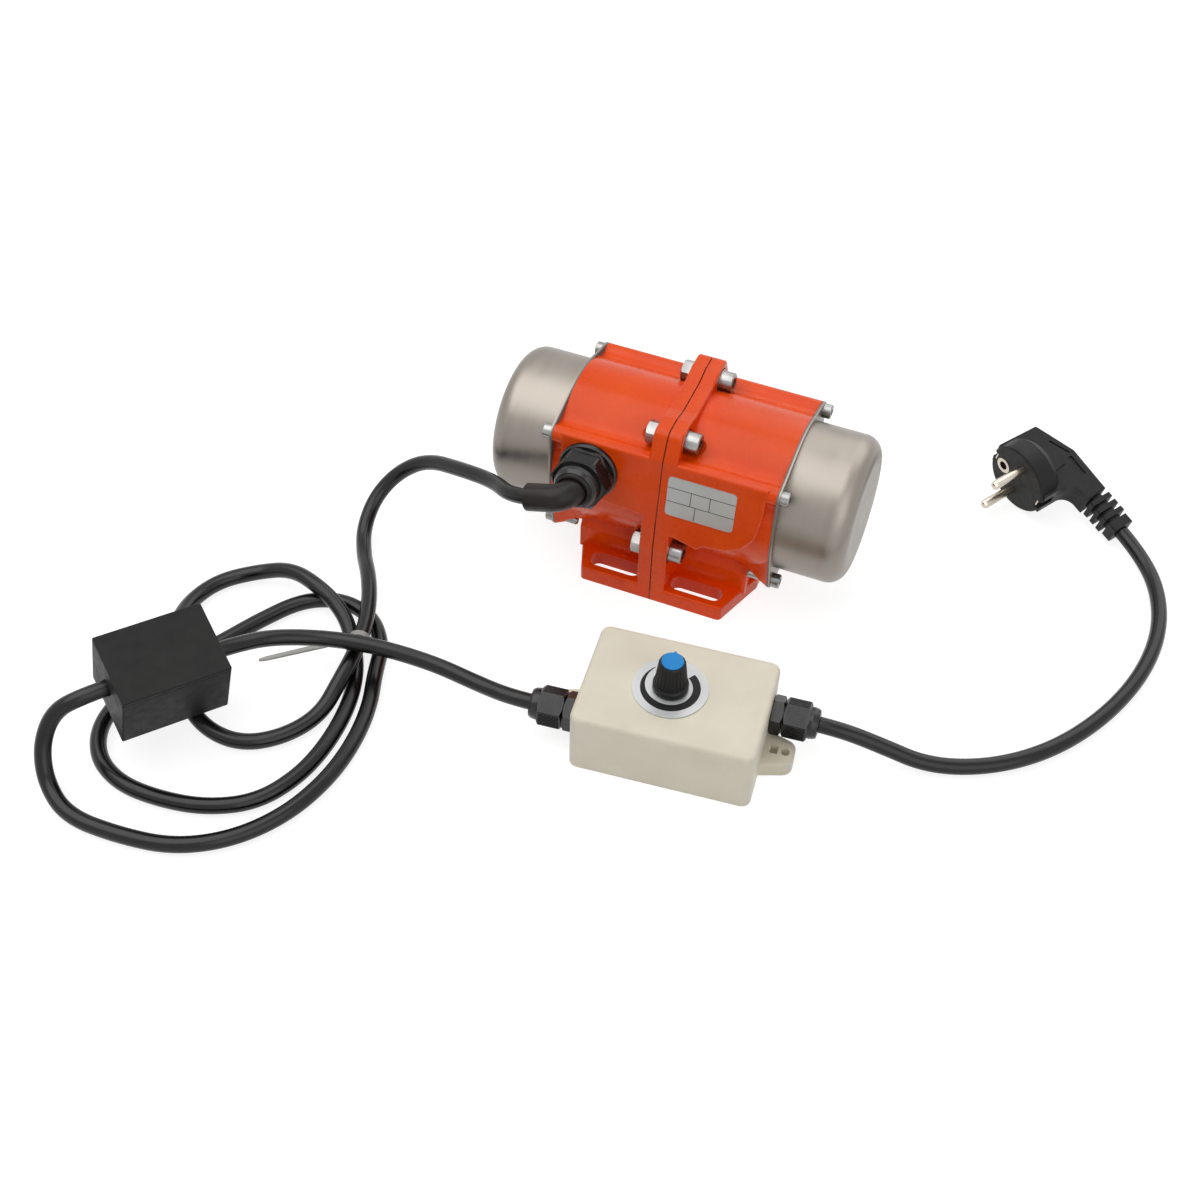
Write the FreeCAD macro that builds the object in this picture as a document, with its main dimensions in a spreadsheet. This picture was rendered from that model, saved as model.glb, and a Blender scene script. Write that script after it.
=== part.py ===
"""Vibration motor with its speed controller, capacitor box and mains plug, in millimetres.

X runs along the motor shaft, -Y is the front, where the cable gland and the rating plate are,
and Z is up.  The origin is the middle of the motor's foot, on the face that is bolted down.
"""
import FreeCAD, Part
import math
import os
import re

import Sketcher
from FreeCAD import Placement, Rotation, Vector

SIZES = {
    # motor housing, two cast halves that meet at x = 0
    "shaft_height": 54.0,
    "barrel_radius": 38.0,
    "housing_half_length": 54.5,
    "stator_bore_radius": 31.0,
    "stator_bore_depth": 36.0,
    "screw_circle": 42.0,
    "top_screw_angle": 39.0,
    "low_screw_angle": 47.5,
    "lug_radius": 4.1,
    "lug_blend_radius": 7.0,
    "gusset_length": 18.0,
    "flange_thickness": 7.0,
    "flange_top": 97.0,
    "flange_saddle_top": 95.0,
    "ear_corner_y": 30.5,
    "ear_round": 5.0,
    "edge_round": 1.2,
    "seam_chamfer": 0.35,
    "foot_length": 92.0,
    "foot_front_length": 72.0,
    "flange_overhang": 5.0,
    "foot_side_depth": 30.0,
    "foot_thickness": 8.0,
    "foot_corner_round": 2.5,
    "slot_pitch_x": 42.0,
    "slot_pitch_y": 69.0,
    "slot_width": 9.0,
    "slot_length": 26.5,
    "pedestal_half_length": 43.0,
    "pedestal_half_depth": 27.0,
    "pedestal_step_height": 19.0,
    "lean_start_height": 35.0,
    "lean_end_height": 84.5,
    "lean_setback": 6.8,
    # front pad, seen square on: x along the shaft, rise measured up its leaning face
    "pad_setback": 4.0,
    "pad_depth": 10.0,
    "pad_back_chamfer": 5.5,
    "pad_round": 1.6,
    # flange bolts
    "bolt_top_y": 23.5,
    "bolt_top_height": 89.3,
    "bolt_low_y": 35.6,
    "bolt_low_height": 29.7,
    "bolt_radius": 3.0,
    "bolt_head_radius": 5.0,
    "bolt_head_height": 6.0,
    "bolt_socket_flats": 5.0,
    "bolt_length": 20.0,
    "washer_radius": 5.5,
    "washer_thickness": 1.6,
    "nut_flats": 10.0,
    "nut_height": 5.0,
    "spot_face_depth": 1.3,
    "bolt_pocket_play": 0.7,
    "bolt_pocket_length": 4.0,
    # end caps and their screws
    "gasket_thickness": 0.6,
    "cap_sheet": 0.8,
    "cap_radius": 36.0,
    "cap_depth": 33.5,
    "cap_edge_round": 9.0,
    "screw_radius": 2.0,
    "screw_head_radius": 3.5,
    "screw_head_height": 4.0,
    "screw_socket_flats": 3.0,
    "screw_length": 12.0,
    # bearings, shaft, stator and rotor
    "bearing_bore_radius": 7.5,
    "bearing_outer_radius": 17.5,
    "bearing_width": 11.0,
    "inner_race_radius": 10.5,
    "outer_race_radius": 14.6,
    "ball_radius": 2.98,
    "ball_play": 0.06,
    "cage_thickness": 0.9,
    "cage_width": 6.0,
    "wave_washer_height": 1.0,
    "shaft_passage_radius": 11.0,
    "end_recess_depth": 3.5,
    "rotor_shaft_radius": 10.0,
    "weight_shaft_radius": 7.0,
    "shaft_half_length": 83.0,
    "stack_half_length": 24.0,
    "air_gap": 0.5,
    "rotor_radius": 16.5,
    "tooth_tip_depth": 1.5,
    "slot_depth": 8.0,
    "stator_slot_width": 4.4,
    "winding_overhang": 8.0,
    "winding_gap": 0.2,
    # eccentric weights
    "weight_radius": 30.0,
    "weight_thickness": 9.5,
    "weight_start": 58.0,
    "weight_gap": 0.6,
    "weight_hub_radius": 13.0,
    "weight_cut_drop": 3.0,
    "clamp_screw_radius": 2.5,
    "clamp_head_radius": 4.2,
    "clamp_head_height": 4.0,
    # motor cable gland, its lengths measured out from the pad
    "gland_x": -35.2,
    "gland_height": 69.0,
    "gland_thread_radius": 11.0,
    "gland_thread_depth": 9.0,
    "gland_disc_radius": 14.4,
    "gland_disc_thickness": 2.5,
    "gland_collar_length": 2.8,
    "gland_spigot_radius": 9.5,
    "gland_spigot_length": 6.0,
    "gland_nut_flats": 25.0,
    "gland_nut_hex_length": 8.0,
    "gland_rib_depth": 0.45,
    "gland_dome_radius": 11.0,
    "gland_dome_length": 5.0,
    "gland_mouth_wall": 4.0,
    "gland_mouth_flare": 1.9,
    "sleeve_radius": 6.5,
    "sleeve_play": 0.3,
    "sleeve_start": 6.0,
    "sleeve_corner": 25.9,
    # rating plate on the pad
    "plate_width": 33.0,
    "plate_height": 21.5,
    "plate_thickness": 0.4,
    "plate_corner": 2.0,
    "plate_left": 3.8,
    "plate_low_height": 57.2,
    # cords
    "cord_radius": 3.75,
    "cord_play": 0.15,
    # speed controller
    "controller_x": 40.2,
    "controller_y": -118.4,
    "controller_turn": 6.2,
    "box_length": 83.0,
    "box_width": 58.0,
    "box_height": 33.0,
    "box_wall": 2.2,
    "box_top": 2.5,
    "box_corner_round": 4.5,
    "box_top_round": 2.2,
    "ear_length": 14.0,
    "ear_root_width": 21.0,
    "ear_tip_width": 12.0,
    "ear_height": 8.0,
    "ear_hole_radius": 2.0,
    "ear_hole_reach": 9.8,
    "ear_window_length": 3.6,
    "ear_window_width": 4.6,
    "ear_window_reach": 4.6,
    "pillar_radius": 2.6,
    "pillar_inset": 5.6,
    "base_plate_thickness": 2.4,
    "base_plate_play": 0.15,
    "base_screw_radius": 1.5,
    "base_screw_head_radius": 2.6,
    "base_screw_length": 10.0,
    "standoff_height": 3.6,
    "standoff_radius": 2.5,
    "board_length": 62.0,
    "board_width": 40.0,
    "board_thickness": 1.6,
    "knob_x": -3.0,
    "dial_radius": 17.0,
    "dial_thickness": 0.8,
    "pot_radius": 8.0,
    "pot_height": 8.5,
    "bushing_radius": 3.5,
    "bushing_length": 6.3,
    "pot_shaft_radius": 3.0,
    "pot_shaft_length": 23.0,
    "pot_shaft_play": 0.05,
    "pot_nut_flats": 10.0,
    "pot_nut_height": 2.0,
    "knob_lift": 1.3,
    "knob_skirt_radius": 8.0,
    "knob_skirt_height": 3.2,
    "knob_waist_radius": 7.2,
    "knob_top_radius": 5.8,
    "knob_height": 16.6,
    "knob_cap_radius": 4.9,
    "knob_cap_thickness": 1.1,
    "knob_cap_recess": 0.6,
    # small glands of the controller, their lengths measured out from the box wall
    "small_gland_offset": 12.4,
    "small_gland_height": 17.0,
    "small_gland_thread_radius": 6.0,
    "small_gland_flats": 16.0,
    "small_gland_hex_length": 5.5,
    "small_gland_spigot": 4.0,
    "small_gland_nut_length": 11.5,
    "small_gland_dome_length": 4.5,
    "small_gland_dome_radius": 7.3,
    "small_gland_mouth_wall": 7.0,
    "locknut_height": 3.5,
    "locknut_flats": 14.0,
    # capacitor box, lying tilted on a crossing of the motor lead
    "capacitor_box_x": -175.5,
    "capacitor_box_y": -197.1,
    "capacitor_box_bottom": 18.3,
    "capacitor_box_yaw": 53.5,
    "capacitor_box_pitch": 5.2,
    "capacitor_box_roll": 14.9,
    "capacitor_box_length": 49.0,
    "capacitor_box_width": 35.6,
    "capacitor_box_height": 33.3,
    "capacitor_box_wall": 2.0,
    "lid_thickness": 2.0,
    "lid_line": 0.3,
    "lid_lip_depth": 3.0,
    "cable_entry_height": 19.0,
    "capacitor_length": 38.0,
    "capacitor_width": 24.0,
    "capacitor_height": 24.0,
    # mains plug, lying on its side
    "plug_x": 148.1,
    "plug_y": 92.4,
    "plug_z": 18.45,
    "plug_yaw": -33.2,
    "plug_pitch": 15.0,
    "plug_roll": 97.0,
    "plug_face_radius": 18.5,
    "plug_collar": 10.0,
    "plug_half_width": 7.0,
    "plug_back": 32.6,
    "plug_neck_round": 7.0,
    "plug_edge_round": 0.8,
    "plug_grip_height": 0.8,
    "plug_groove_depth": 0.7,
    "plug_exit_depth": 27.0,
    "plug_exit_reach": 51.0,
    "plug_lead_out": 13.0,
    "relief_start": 29.5,
    "relief_core_radius": 4.7,
    "relief_rib_half": 6.4,
    "relief_rib_round": 1.4,
    "relief_rib_width": 2.6,
    "relief_rib_pitch": 4.7,
    "relief_end_half": 5.9,
    "relief_end_length": 5.2,
    "pin_radius": 2.4,
    "pin_length": 19.0,
    "pin_pitch": 19.0,
    "earth_socket_offset": 10.0,
    "earth_socket_radius": 2.4,
    "earth_sleeve_wall": 0.6,
    "earth_socket_depth": 15.0,
    "earth_clip_reach": 16.4,
    "earth_clip_thickness": 0.8,
    "earth_clip_width": 5.0,
    "earth_clip_length": 8.0,
    # cable tie round the motor lead
    "tie_thickness": 1.1,
    "tie_width": 2.6,
    "tie_play": 0.3,
    # fits
    "seat_gap": 0.02,
    "thread_gap": 0.02,
    "turning_gap": 0.05,
}

doc = FreeCAD.newDocument("VibrationMotor")
sheet = doc.addObject("Spreadsheet::Sheet", "Sizes")
for row, (alias, number) in enumerate(SIZES.items(), start=1):
    sheet.set(f"A{row}", alias)
    sheet.set(f"B{row}", str(number))
    sheet.setAlias(f"B{row}", alias)
doc.recompute()

X, Y, Z = Vector(1, 0, 0), Vector(0, 1, 0), Vector(0, 0, 1)
TOWARDS = {
    "X": Rotation(Z, X),
    "-X": Rotation(Z, -X),
    "Y": Rotation(X, -90),
    "-Y": Rotation(X, 90),
    "Z": Rotation(),
    "-Z": Rotation(X, 180),
}
ORIGIN = ("0", "0", "0")
nodes = {}


# ---------------------------------------------------------------- helpers

def cells(text):
    """Turn size names in a formula into references to the sheet's cells."""
    return re.sub(r"[a-z_]+", lambda word: f"Sizes.{word[0]}" if word[0] in SIZES else word[0], str(text))


def mm(text):
    """The value of a formula of size names."""
    return float(sheet.evalExpression(cells(text)))


def tie(item, name, formula):
    """Bind one property of an object to a formula of the sheet's cells."""
    item.setExpression(name, cells(formula))


def place(item, at, towards="Z"):
    """Stand an object at a point given by three formulas, its own Z turned towards an axis."""
    item.Placement = Placement(Vector(*(mm(part) for part in at)), TOWARDS[towards])
    for letter, part in zip("xyz", at):
        tie(item, f"Placement.Base.{letter}", part)
    return item


def cylinder(name, radius, length, at=ORIGIN, towards="Z"):
    item = doc.addObject("Part::Cylinder", name)
    tie(item, "Radius", radius)
    tie(item, "Height", length)
    return place(item, at, towards)


def block(name, length, width, height, at=ORIGIN):
    """A box whose base is centred on a point."""
    item = doc.addObject("Part::Box", name)
    tie(item, "Length", length)
    tie(item, "Width", width)
    tie(item, "Height", height)
    corner = (f"({at[0]}) - ({length}) / 2", f"({at[1]}) - ({width}) / 2", at[2])
    return place(item, corner)


def hexagon(name, flats, length, at=ORIGIN, towards="Z"):
    """A hexagonal bar, sized across its flats."""
    item = doc.addObject("Part::Prism", name)
    item.Polygon = 6
    tie(item, "Circumradius", f"({flats}) / 2 / cos(30)")
    tie(item, "Height", length)
    return place(item, at, towards)


def fuse(name, items):
    item = doc.addObject("Part::MultiFuse", name)
    item.Shapes = items
    item.Refine = True
    return item


def cut(name, base, tools):
    item = doc.addObject("Part::Cut", name)
    item.Base = base
    item.Tool = tools[0] if len(tools) == 1 else fuse(name + "_tools", tools)
    return item


def common(name, first, second):
    item = doc.addObject("Part::MultiCommon", name)
    item.Shapes = [first, second]
    return item


def solid(name, shape):
    """An object whose shape is worked out by this script."""
    item = doc.addObject("Part::Feature", name)
    item.Shape = shape
    return item


def node(item, label, frame=None):
    """Name a finished piece, and move it from its own frame to where it belongs."""
    if frame is not None and any("Placement" in bound[0] for bound in item.ExpressionEngine):
        whole = doc.addObject("Part::Compound", item.Name + "_placed")
        whole.Links = [item]
        item = whole
    item.Label = label
    if frame is not None:
        item.Placement = frame.multiply(item.Placement)
    nodes[label] = item
    return item


def outline(body, role, points, name):
    """A closed sketch on one of the body's origin planes, each corner tied to the sheet."""
    plane = next(part for part in body.Origin.OriginFeatures if part.Role == role)
    sketch = body.newObject("Sketcher::SketchObject", name)
    sketch.AttachmentSupport = [(plane, "")]
    sketch.MapMode = "FlatFace"
    corners = [Vector(mm(across), mm(up), 0) for across, up in points]
    following = corners[1:] + corners[:1]
    sketch.addGeometry([Part.LineSegment(*pair) for pair in zip(corners, following)], False)
    count = len(corners)
    joins = [Sketcher.Constraint("Coincident", i, 2, (i + 1) % count, 1) for i in range(count)]
    sketch.addConstraint(joins)
    for i, (across, up) in enumerate(points):
        for kind, formula, number in (("DistanceX", across, corners[i].x), ("DistanceY", up, corners[i].y)):
            index = sketch.addConstraint(Sketcher.Constraint(kind, -1, 1, i, 1, number))
            tie(sketch, f"Constraints[{index}]", formula)
    return sketch


def turned(name, profile, at=ORIGIN, towards="Z"):
    """A piece turned on a lathe: its profile holds (radius, height) corners about its own Z."""
    body = doc.addObject("PartDesign::Body", name)
    sketch = outline(body, "XZ_Plane", profile, name + "_profile")
    turn = body.newObject("PartDesign::Revolution", name + "_turn")
    turn.Profile = sketch
    turn.ReferenceAxis = (sketch, ["V_Axis"])
    turn.Angle = 360
    return place(body, at, towards)


def prism(name, role, points, length, flip=False, midplane=False):
    """A sketched outline on an origin plane, padded along the plane's normal."""
    body = doc.addObject("PartDesign::Body", name)
    pad = body.newObject("PartDesign::Pad", name + "_pad")
    pad.Profile = outline(body, role, points, name + "_outline")
    tie(pad, "Length", length)
    pad.Reversed = flip
    pad.Midplane = midplane
    return body


def dress(body, kind, size, wanted):
    """Fillet or chamfer those edges of a body that a test picks."""
    doc.recompute()
    before = body.Tip
    names = [f"Edge{i}" for i, edge in enumerate(before.Shape.Edges, start=1) if wanted(edge)]
    feature = body.newObject("PartDesign::" + kind, f"{body.Name}_{kind.lower()}")
    feature.Base = (before, names)
    tie(feature, "Radius" if kind == "Fillet" else "Size", size)
    return body


def parallel(edge, direction):
    """True for a straight edge that runs along a direction."""
    return isinstance(edge.Curve, Part.Line) and abs(edge.Curve.Direction.dot(direction)) > 0.999


def near(first, second):
    return abs(first - second) < 1e-3


def middle(edge):
    return edge.CenterOfMass


def mirrored(points):
    """Add the other half of an outline that is symmetric about its upright axis."""
    return points + [(f"-({across})", up) for across, up in reversed(points)]


def copies(label, pattern, places):
    """Equal pieces as separate solids of one node."""
    doc.recompute()
    group = solid(label, Part.makeCompound([pattern.Shape.transformed(spot.toMatrix()) for spot in places]))
    return node(group, label)


def tube(points, radius, bore=0.0):
    """A round cord along straight runs joined by tangent arcs, and the length of its middle line."""
    edges = []
    start = points[0]
    radii = []
    for before, corner, after in zip(points, points[1:], points[2:]):
        back, ahead = before - corner, after - corner
        turn = math.pi - back.getAngle(ahead)
        reach = 0.45 * min(back.Length, ahead.Length)
        radii.append(reach / math.tan(turn / 2))
        back.normalize()
        ahead.normalize()
        first, last = corner + back * reach, corner + ahead * reach
        bisector = (back + ahead).normalize()
        to_centre = math.hypot(reach, radii[-1])
        halfway = corner + bisector * (to_centre - radii[-1])
        edges += [Part.LineSegment(start, first).toShape(), Part.Arc(first, halfway, last).toShape()]
        start = last
    edges.append(Part.LineSegment(start, points[-1]).toShape())
    path = Part.Wire(edges)
    heading = points[1] - points[0]

    def swept(size):
        ring = Part.Wire(Part.makeCircle(size, points[0], heading))
        return path.makePipeShell([ring], True, False)

    shape = swept(radius)
    if bore:
        shape = shape.cut(swept(bore))
    return shape, path.Length, radii


def cord(label, points, radius=None, bore=0.0):
    """A cord's node: prints its length and tightest bend, and tests its volume."""
    radius = radius or mm("cord_radius")
    shape, length, radii = tube([Vector(*point) for point in points], radius, bore)
    section = math.pi * (radius ** 2 - bore ** 2)
    print(f"{label}: length {length:.0f}, volume ratio {shape.Volume / section / length:.4f}, "
          f"radii {' '.join(f'{bend:.0f}' for bend in radii)}")
    return node(solid(label, shape), label)


# ---------------------------------------------------------------- places shared by several pieces

LEAN = math.degrees(math.atan2(mm("lean_setback"), mm("lean_end_height - lean_start_height")))
LEAN_COS = math.cos(math.radians(LEAN))
# the leaning front face: its own x runs along the shaft, y up the face and z out of it
HALF_DEPTH = "(barrel_radius + flange_overhang)"
PAD_REACH = "(housing_half_length - pad_setback)"
FRONT_FACE = Placement(Vector(0, -mm(HALF_DEPTH), mm("lean_start_height")), Rotation(X, 90 - LEAN))
CONTROLLER = Placement(Vector(mm("controller_x"), mm("controller_y"), 0), Rotation(Z, mm("controller_turn")))
CAPACITOR = Placement(
    Vector(mm("capacitor_box_x"), mm("capacitor_box_y"), mm("capacitor_box_bottom")),
    Rotation(mm("capacitor_box_yaw"), mm("capacitor_box_pitch"), mm("capacitor_box_roll")),
)
# the plug's own x runs towards its cord, y along its row of pins and z out with the pins
PLUG = Placement(
    Vector(mm("plug_x"), mm("plug_y"), mm("plug_z")),
    Rotation(mm("plug_yaw"), mm("plug_pitch"), mm("plug_roll")),
)
SIDES = (("right", 1, "X"), ("left", -1, "-X"))
SCREW_ANGLES = {
    "top_back": "top_screw_angle",
    "top_front": "180 - top_screw_angle",
    "low_back": "-low_screw_angle",
    "low_front": "180 + low_screw_angle",
}
BOLT_POCKET = "washer_radius + bolt_pocket_play"
BOLTS = [(end * mm(f"bolt_{level}_y"), mm(f"bolt_{level}_height")) for level in ("top", "low") for end in (-1, 1)]


def up_face(height):
    """How far up the leaning face a height is."""
    return f"(({height}) - lean_start_height) / {LEAN_COS}"


def screw_spot(angle):
    """Where a cap screw stands, as y and z formulas."""
    return f"screw_circle * cos({angle})", f"shaft_height + screw_circle * sin({angle})"


# ---------------------------------------------------------------- motor housing

def lug_hull(angle, reach, lug, barrel, x):
    """A wire round one screw lug: its two tangents to the barrel, closed at the shaft axis."""
    centre = Vector(x, 0, mm("shaft_height"))
    tangent = math.acos((barrel - lug) / reach)
    along = math.radians(angle)

    def spoke(turn, length):
        return Vector(0, math.cos(along + turn) * length, math.sin(along + turn) * length)

    middle_of_lug = centre + spoke(0, reach)
    side = [centre + spoke(end * tangent, barrel) for end in (-1, 1)]
    lug_side = [middle_of_lug + spoke(end * tangent, lug) for end in (-1, 1)]
    tip = middle_of_lug + spoke(0, lug)
    return Part.Wire([
        Part.LineSegment(centre, side[0]).toShape(),
        Part.LineSegment(side[0], lug_side[0]).toShape(),
        Part.Arc(lug_side[0], tip, lug_side[1]).toShape(),
        Part.LineSegment(lug_side[1], side[1]).toShape(),
        Part.LineSegment(side[1], centre).toShape(),
    ])


def gusset(name, angle, side):
    """The lower screw lug, which grows out of the barrel towards its end face."""
    lug, barrel, reach = mm("lug_radius"), mm("barrel_radius"), mm("screw_circle")
    end = mm("housing_half_length")
    sunk = barrel - lug - 0.2
    wide = lug_hull(angle, reach, lug, barrel - 0.2, side * end)
    slim = lug_hull(angle, sunk, lug, barrel - 0.5, side * (end - mm("gusset_length")))
    return solid(name, Part.makeLoft([slim, wide], True, True))


def lobed_plate(name, side, start, thickness, bore):
    """A thin plate with the outline of the housing's end face: barrel and four screw lugs."""
    shape = Part.makeCylinder(mm("barrel_radius"), mm(thickness), Vector(mm(start), 0, mm("shaft_height")), X)
    holes = [Part.makeCylinder(mm(bore), mm(thickness), Vector(mm(start), 0, mm("shaft_height")), X)]
    for angle in SCREW_ANGLES.values():
        wire = lug_hull(mm(angle), mm("screw_circle"), mm("lug_radius"), mm("barrel_radius"), mm(start))
        shape = shape.fuse(Part.Face(wire).extrude(X * mm(thickness)))
        across, up = (mm(part) for part in screw_spot(angle))
        holes.append(Part.makeCylinder(mm("screw_radius + thread_gap + 0.2"), mm(thickness), Vector(mm(start), across, up), X))
    shape = shape.cut(holes).removeSplitter()
    if side < 0:
        shape = shape.mirror(Vector(), X)
    return solid(name, shape)


def barrel_with_ridges(name, side, towards):
    """The barrel and its two upper ridges, blended into it by hollow curves."""
    axis = ("0", "0", "shaft_height")
    bars = [cylinder(name + "_barrel", "barrel_radius", "housing_half_length", axis, towards)]
    spots = []
    for where in ("top_back", "top_front"):
        across, up = screw_spot(SCREW_ANGLES[where])
        spots.append((mm(across), mm(up)))
        bars.append(cylinder(f"{name}_{where}_ridge", "lug_radius", "housing_half_length", ("0", across, up), towards))
    whole = fuse(name + "_ridged_barrel", bars)
    doc.recompute()

    def root(edge):
        spot = middle(edge)
        on_barrel = near(math.hypot(spot.y, spot.z - mm("shaft_height")), mm("barrel_radius"))
        on_ridge = any(near(math.hypot(spot.y - y, spot.z - z), mm("lug_radius")) for y, z in spots)
        return parallel(edge, X) and on_barrel and on_ridge

    blend = doc.addObject("Part::Fillet", name + "_blended_barrel")
    blend.Base = whole
    radius = mm("lug_blend_radius")
    blend.Edges = [(i, radius, radius) for i, edge in enumerate(whole.Shape.Edges, start=1) if root(edge)]
    return blend


def centre_flange(name, side):
    """Half of the clamping flange, with an ear at each upper bolt and a low saddle between them."""
    half = [
        (f"-{HALF_DEPTH}", "0"),
        (f"-{HALF_DEPTH}", "lean_start_height"),
        (f"-{HALF_DEPTH} + lean_setback", "lean_end_height"),
        ("-ear_corner_y", "flange_top"),
        ("-bolt_top_y + 4", "flange_top"),
        ("-bolt_top_y + 12.5", "flange_saddle_top"),
    ]
    body = prism(name + "_flange", "YZ_Plane", mirrored(half), "flange_thickness", flip=side < 0)
    dress(body, "Fillet", "ear_round", lambda edge: parallel(edge, X) and near(middle(edge).z, mm("flange_top"))
          and near(abs(middle(edge).y), mm("ear_corner_y")))
    face = side * mm("flange_thickness")
    dress(body, "Fillet", "edge_round", lambda edge: near(edge.BoundBox.XMin, face) and near(edge.BoundBox.XMax, face)
          and middle(edge).z > mm("foot_thickness"))
    return dress(body, "Chamfer", "seam_chamfer", lambda edge: near(edge.BoundBox.XMin, 0)
                 and near(edge.BoundBox.XMax, 0) and middle(edge).z > 0.1)


def foot(name, side):
    """Half of the slotted foot, its outer corners cut off."""
    half = [
        ("0", f"-{HALF_DEPTH}"),
        (f"{side} * foot_front_length / 2", f"-{HALF_DEPTH}"),
        (f"{side} * foot_length / 2", "-foot_side_depth / 2"),
        (f"{side} * foot_length / 2", "foot_side_depth / 2"),
        (f"{side} * foot_front_length / 2", HALF_DEPTH),
        ("0", HALF_DEPTH),
    ]
    body = prism(name + "_foot", "XY_Plane", half, "foot_thickness")
    dress(body, "Fillet", "foot_corner_round", lambda edge: parallel(edge, Z) and abs(middle(edge).x) > 1)
    return dress(body, "Fillet", "edge_round", lambda edge: near(edge.BoundBox.ZMin, mm("foot_thickness"))
                 and abs(middle(edge).x) > 1)


def pedestal(name, side):
    """The stepped block that carries the barrel on the foot."""
    half = [
        ("-pedestal_half_depth", "foot_thickness - 2"),
        ("-pedestal_half_depth", "pedestal_step_height"),
        ("-pedestal_half_depth + 6", "pedestal_step_height + 8"),
    ]
    return prism(name + "_pedestal", "YZ_Plane", mirrored(half), "pedestal_half_length", flip=side < 0)


def front_pad(name, side):
    """The leaning pad across the front: the plate sits on the right half, the gland on the left."""
    if side > 0:
        low_edge = [("0", "44"), ("9", "44"), ("21", "41"), ("24", "43.8"), ("34", "44.8"), ("42", "48.5"),
                    ("47.5", "56"), (f"{PAD_REACH} - 1", "66")]
    else:
        low_edge = [("0", "51"), ("25", "53"), ("43", "53.5"), ("48.5", "57.5"), (f"{PAD_REACH} - 1", "66")]
    points = [(f"{side} * ({across})", up_face(height)) for across, height in low_edge]
    points += [(f"{side} * {PAD_REACH}", up_face("lean_end_height + 0.3")), ("0", up_face("lean_end_height + 0.3"))]
    body = prism(name + "_pad", "XY_Plane", points, "pad_depth", flip=True)
    top = mm(up_face("lean_end_height + 0.3"))
    dress(body, "Chamfer", "pad_back_chamfer", lambda edge: parallel(edge, X) and near(middle(edge).y, top)
          and near(middle(edge).z, -mm("pad_depth")))
    dress(body, "Fillet", "pad_round", lambda edge: near(edge.BoundBox.ZMin, 0) and near(edge.BoundBox.ZMax, 0)
          and abs(middle(edge).x) > 1e-3)
    body.Placement = FRONT_FACE
    return body


def housing_cutters(name, side, towards):
    """Everything bored, drilled or milled out of one half."""
    axis = ("0", "0", "shaft_height")
    seat_depth = "bearing_width" if side > 0 else "bearing_width + wave_washer_height"
    bores = [
        ("bore", "stator_bore_radius", "0", "stator_bore_depth"),
        ("seat", "bearing_outer_radius + seat_gap", "stator_bore_depth - 0.5", f"{seat_depth} + 0.5"),
        ("passage", "shaft_passage_radius", "stator_bore_depth", "housing_half_length"),
        ("recess", "cap_radius - cap_sheet", "housing_half_length - end_recess_depth", "end_recess_depth + 1"),
    ]
    tools = [cylinder(f"{name}_{what}", radius, length, (f"{side} * ({start})", "0", "shaft_height"), towards)
             for what, radius, start, length in bores]
    for where, angle in SCREW_ANGLES.items():
        spot = (f"{side} * (housing_half_length - screw_length)", *screw_spot(angle))
        tools.append(cylinder(f"{name}_{where}_tap", "screw_radius + thread_gap", "screw_length + 1", spot, towards))
    spot_face = "flange_thickness - spot_face_depth" if side > 0 else "flange_thickness"
    pocket_end = "flange_thickness + bolt_pocket_length"
    for level in ("top", "low"):
        for end in (-1, 1):
            spot = (f"{end} * bolt_{level}_y", f"bolt_{level}_height")
            hole = f"{name}_{level}_{'back' if end > 0 else 'front'}"
            tools.append(cylinder(hole + "_bolt", "bolt_radius + 0.3", "flange_thickness + 1",
                                  (f"{-side} * 0.5", *spot), towards))
            tools.append(cylinder(hole + "_pocket", BOLT_POCKET, f"{pocket_end} - ({spot_face})",
                                  (f"{side} * ({spot_face})", *spot), towards))
            scoop = doc.addObject("Part::Sphere", hole + "_scoop")
            tie(scoop, "Radius", BOLT_POCKET)
            tools.append(place(scoop, (f"{side} * ({pocket_end})", *spot)))
    for end in (-1, 1):
        middle_of_slot = (f"{side} * slot_pitch_x / 2", f"{end} * slot_pitch_y / 2", "-1")
        slot = f"{name}_slot_{'back' if end > 0 else 'front'}"
        tools.append(block(slot, "slot_length - slot_width", "slot_width", "foot_thickness + 2", middle_of_slot))
        for tip in (-1, 1):
            at = (f"{middle_of_slot[0]} + {tip} * (slot_length - slot_width) / 2", *middle_of_slot[1:])
            tools.append(cylinder(f"{slot}_{'outer' if tip > 0 else 'inner'}", "slot_width / 2", "foot_thickness + 2", at))
    return tools


def gland_hole():
    """The threaded hole for the motor gland and the way on into the stator bore."""
    spot = Vector(mm("gland_x"), mm(up_face("gland_height")), 0)
    way = Part.makeCylinder(mm("gland_spigot_radius") - 2.5, mm("gland_thread_depth") + 9, spot, -Z)
    wide = Part.makeCylinder(mm("gland_thread_radius + thread_gap"), mm("gland_thread_depth") + 3, spot + Z * 3, -Z)
    return solid("gland_hole", wide.fuse(way).transformed(FRONT_FACE.toMatrix()))


for word, side, towards in SIDES:
    name = "housing_" + word
    castings = [
        barrel_with_ridges(name, side, towards),
        centre_flange(name, side),
        foot(name, side),
        pedestal(name, side),
        front_pad(name, side),
        gusset(name + "_back_gusset", mm(SCREW_ANGLES["low_back"]), side),
        gusset(name + "_front_gusset", mm(SCREW_ANGLES["low_front"]), side),
    ]
    cutters = housing_cutters(name, side, towards)
    if side < 0:
        cutters.append(gland_hole())
    node(cut(name + "_half", fuse(name + "_casting", castings), cutters), name)


# ---------------------------------------------------------------- fasteners

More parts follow.
